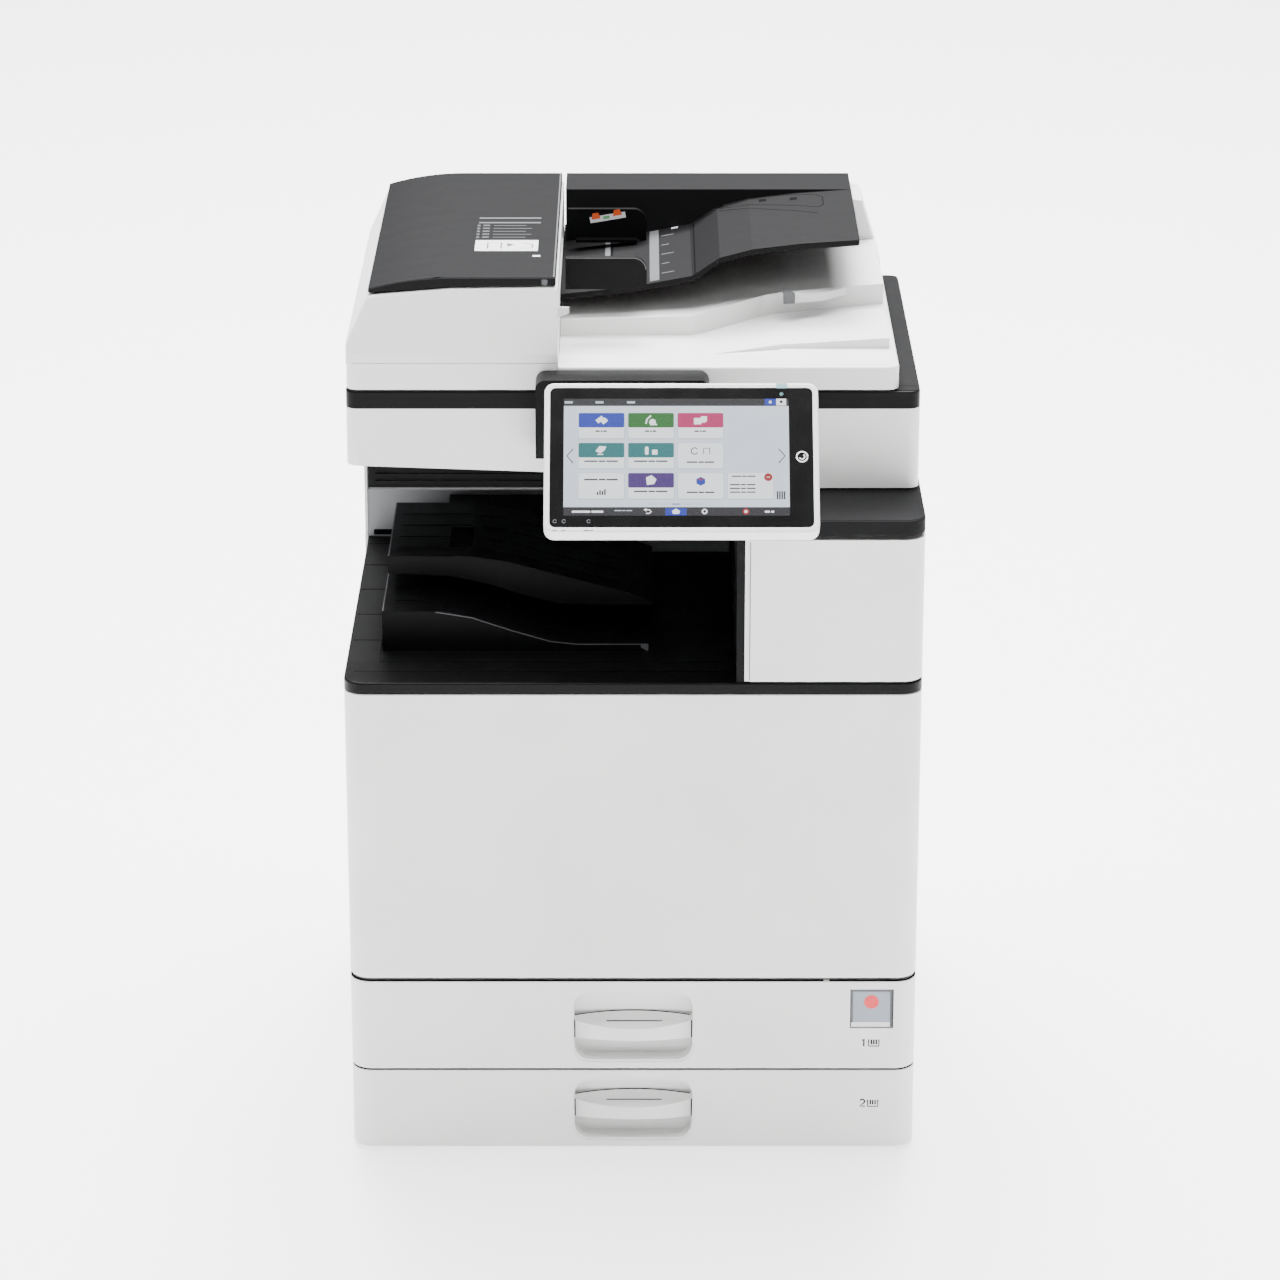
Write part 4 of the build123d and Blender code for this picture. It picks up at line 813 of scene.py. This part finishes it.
class Following(Flat):
    """Details on an exit tray: heights follow the tray's top line."""

    def place(self, point, height):
        z = self.profile[-1][1]
        for (x0, z0), (x1, z1) in zip(self.profile, self.profile[1:]):
            if point[0] <= x1:
                z = z0 + (z1 - z0) * max(point[0] - x0, 0) / (x1 - x0)
                break
        return Vector((point[0] * MM, body_front + point[1] * MM, (z + height) * MM))


RIB_WIDE = 2.4
RIB_TALL = 0.5
RIB_LENGTH = 18  # the ribs are laid in short lengths that follow the tray


def ridges(name, profile, x, depths):
    """Long low ribs along X on an exit tray."""
    face = Following(name, (0, 0, 0), X_AXIS, Y_AXIS)
    face.profile = profile
    for depth in depths:
        start = x[0]
        while start < x[1]:
            end = min(start + RIB_LENGTH, x[1])
            rib = rounded((start, end), (depth, depth + RIB_WIDE))
            face.add(rib, slot_materials["black_plastic"], high=RIB_TALL)
            start = end
    face.done("frame", "black_plastic")


ridges("lower_tray_ridges", LOWER_TOP, (-246, 4), [130 + 44 * i for i in range(6)])
ridges("upper_tray_ridges", UPPER_TOP, (-246, 8), [196 + 38 * i for i in range(4)])
tray_window = Following("upper_tray_window", (0, 0, 0), X_AXIS, Y_AXIS)
tray_window.profile = UPPER_TOP
tray_window.add(rounded((-192, -168), (205, 262)), seam, high=1.4)
tray_window.done("frame", "black_plastic")

EXIT_FLOOR_Z = 522.0
floor_lines = top_face("exit_floor_seams", EXIT_FLOOR_Z)
for depth in (34, 62):
    floor_lines.add(rounded((-284, 98), (depth, depth + 1.2)), seam, high=0.08)
floor_lines.done("frame", "black_plastic")

LEDGE_START = 60.0
LEDGE_RISE = 18.0 / 356.0  # the left ledge climbs this much per mm of depth
ledge_seams = top_face("exit_ledge_seams", EXIT_FLOOR_Z)
for depth in (120, 190, 260, 330, 392):
    rise = (depth - LEDGE_START) * LEDGE_RISE
    ledge_seams.add(rounded((-289, -261), (depth, depth + 1.4)), seam, high=rise + 0.2, low=rise - 1.0)
ledge_seams.done("frame", "black_plastic")

back_wall = front_face("exit_wall_marks", depth_of(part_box("exit_rear_wall")[0].y))
back_wall.add(disc((-270, 612), 3.2, 20), seam, high=0.2)
back_wall.add(rounded((-284, -258), (542, 548), 1.5, 2), seam, high=0.2)
back_wall.done("frame", "dark_plastic")

louvres = front_face("scanner_housing_louvres", depth_of(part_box("scanner_support")[0].y))
LOUVRE_LOW = 659.0
LOUVRE_PITCH = 7.4
for row in range(6):
    low = LOUVRE_LOW + LOUVRE_PITCH * row
    louvres.add(rounded((-270, 94), (low, low + 3.0)), slot_materials["dark_plastic"], high=2.2)
# A painted highlight along the lip under the louvres.
louvres.add(rounded((-277, 99), (652.2, 654.4)), edge_highlight_shade_and_grey_print, high=1.2)
louvres.done("frame", "dark_plastic")

# ---- rear and sides ----
rear = back_face("rear_screws")
SCREW_RADIUS = 4.4
CROSS_HALF = 2.6
for x in (-272, 0, 272):
    for z in (30, 350, 668):
        rear.add(disc((x, z), SCREW_RADIUS, 20), slot_materials["steel"], high=0.9)
        rear.add(stroke([(x - CROSS_HALF, z), (x + CROSS_HALF, z)], 0.9), seam, high=0.94)
        rear.add(stroke([(x, z - CROSS_HALF), (x, z + CROSS_HALF)], 0.9), seam, high=0.94)
rear.done("frame", "steel")

plates = back_face("rear_plates")
plates.add(rounded((60, 170), (120, 160), 3), ink_white, high=0.15)
for line in range(4):
    words(plates, (115, 151 - 7.5 * line), 84.0, 2.0, grey_ink_and_painted_shade, high=0.2)
for x in (-220, -60):
    plates.add(rounded((x, x + 60), (200, 236), 3), grey_ink_and_painted_shade, high=0.15)
    plates.add(rounded((x + 8, x + 52), (208, 228), 2), seam, high=0.2)
plates.done("frame", "grey_plastic")

pull = right_face("side_door_pull", "side_door")
pull.add(rounded((250, 330), (488.5, 491.0), 1, 2), seam, high=0.05)
pull.done("side_door", "black_plastic")

tray_marks = right_face("bypass_marks", "bypass_tray")
tray_marks.add(stroke([(264, 440), (264, 456), (316, 456), (316, 440)], 2.0), grey_ink_and_painted_shade, high=0.12)
tray_marks.add([(282, 432), (298, 432), (290, 424)], grey_ink_and_painted_shade, high=0.12)
tray_marks.done("bypass_tray", "grey_plastic")

# ---- behind the front door ----
inside = Flat("inner_cover_marks", (0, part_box("inner_cover")[0].y, 0), X_AXIS, Z_AXIS)
green = moulded("touch_green", srgb(72, 168, 112), 0.45, relief=0.0)
inside.add(rounded((150, 250), (452, 470), 3), green, high=1.2)
inside.add(rounded((140, 262), (236, 300), 3), ink_white, high=0.15)
for line in range(6):
    words(inside, (201, 292 - 9.0 * line), 100.0, 2.2, grey_ink_and_painted_shade, high=0.2)
inside.add(stroke([(-229, 500), (-121, 500)], 1.6), grey_ink_and_painted_shade, high=0.12)
inside.add([(-181, 489), (-169, 489), (-175, 482)], grey_ink_and_painted_shade, high=0.12)
inside.done("frame", "grey_plastic")

# ---- floor and light ----
FLOOR_GLOW = 1.2  # a light table, so that no hard shadow is left under the machine
bpy.ops.mesh.primitive_plane_add(size=30)
floor = bpy.context.object
floor.name = "floor"
floor_look = moulded("floor", srgb(250, 250, 250), 0.7, grain=90, relief=0.02, tint=0.004)
floor_shader = floor_look.node_tree.nodes["Principled BSDF"]
floor_shader.inputs["Emission Color"].default_value = (1, 1, 1, 1)
floor_shader.inputs["Emission Strength"].default_value = FLOOR_GLOW
floor.data.materials.append(floor_look)

world = bpy.data.worlds.new("studio")
world.use_nodes = True
world.node_tree.nodes["Background"].inputs["Color"].default_value = (1, 1, 1, 1)
world.node_tree.nodes["Background"].inputs["Strength"].default_value = 0.4
bpy.context.scene.world = world


def area_light(name, place, target, size, power):
    """A square soft light aimed at a point."""
    data = bpy.data.lights.new(name, "AREA")
    data.shape = "SQUARE"
    data.size = size
    data.energy = power
    light = bpy.data.objects.new(name, data)
    light.location = place
    light.rotation_euler = (Vector(target) - Vector(place)).to_track_quat("-Z", "Y").to_euler()
    bpy.context.collection.objects.link(light)


area_light("key", (1.0, -5.0, 4.2), (0, 0, 0.5), 3.0, 90)
area_light("top", (0.0, 1.0, 5.0), (0, 0.4, 0), 5.0, 1150)
area_light("back", (0.0, 8.0, 12.0), (0, 8.0, 0), 6.0, 4500)
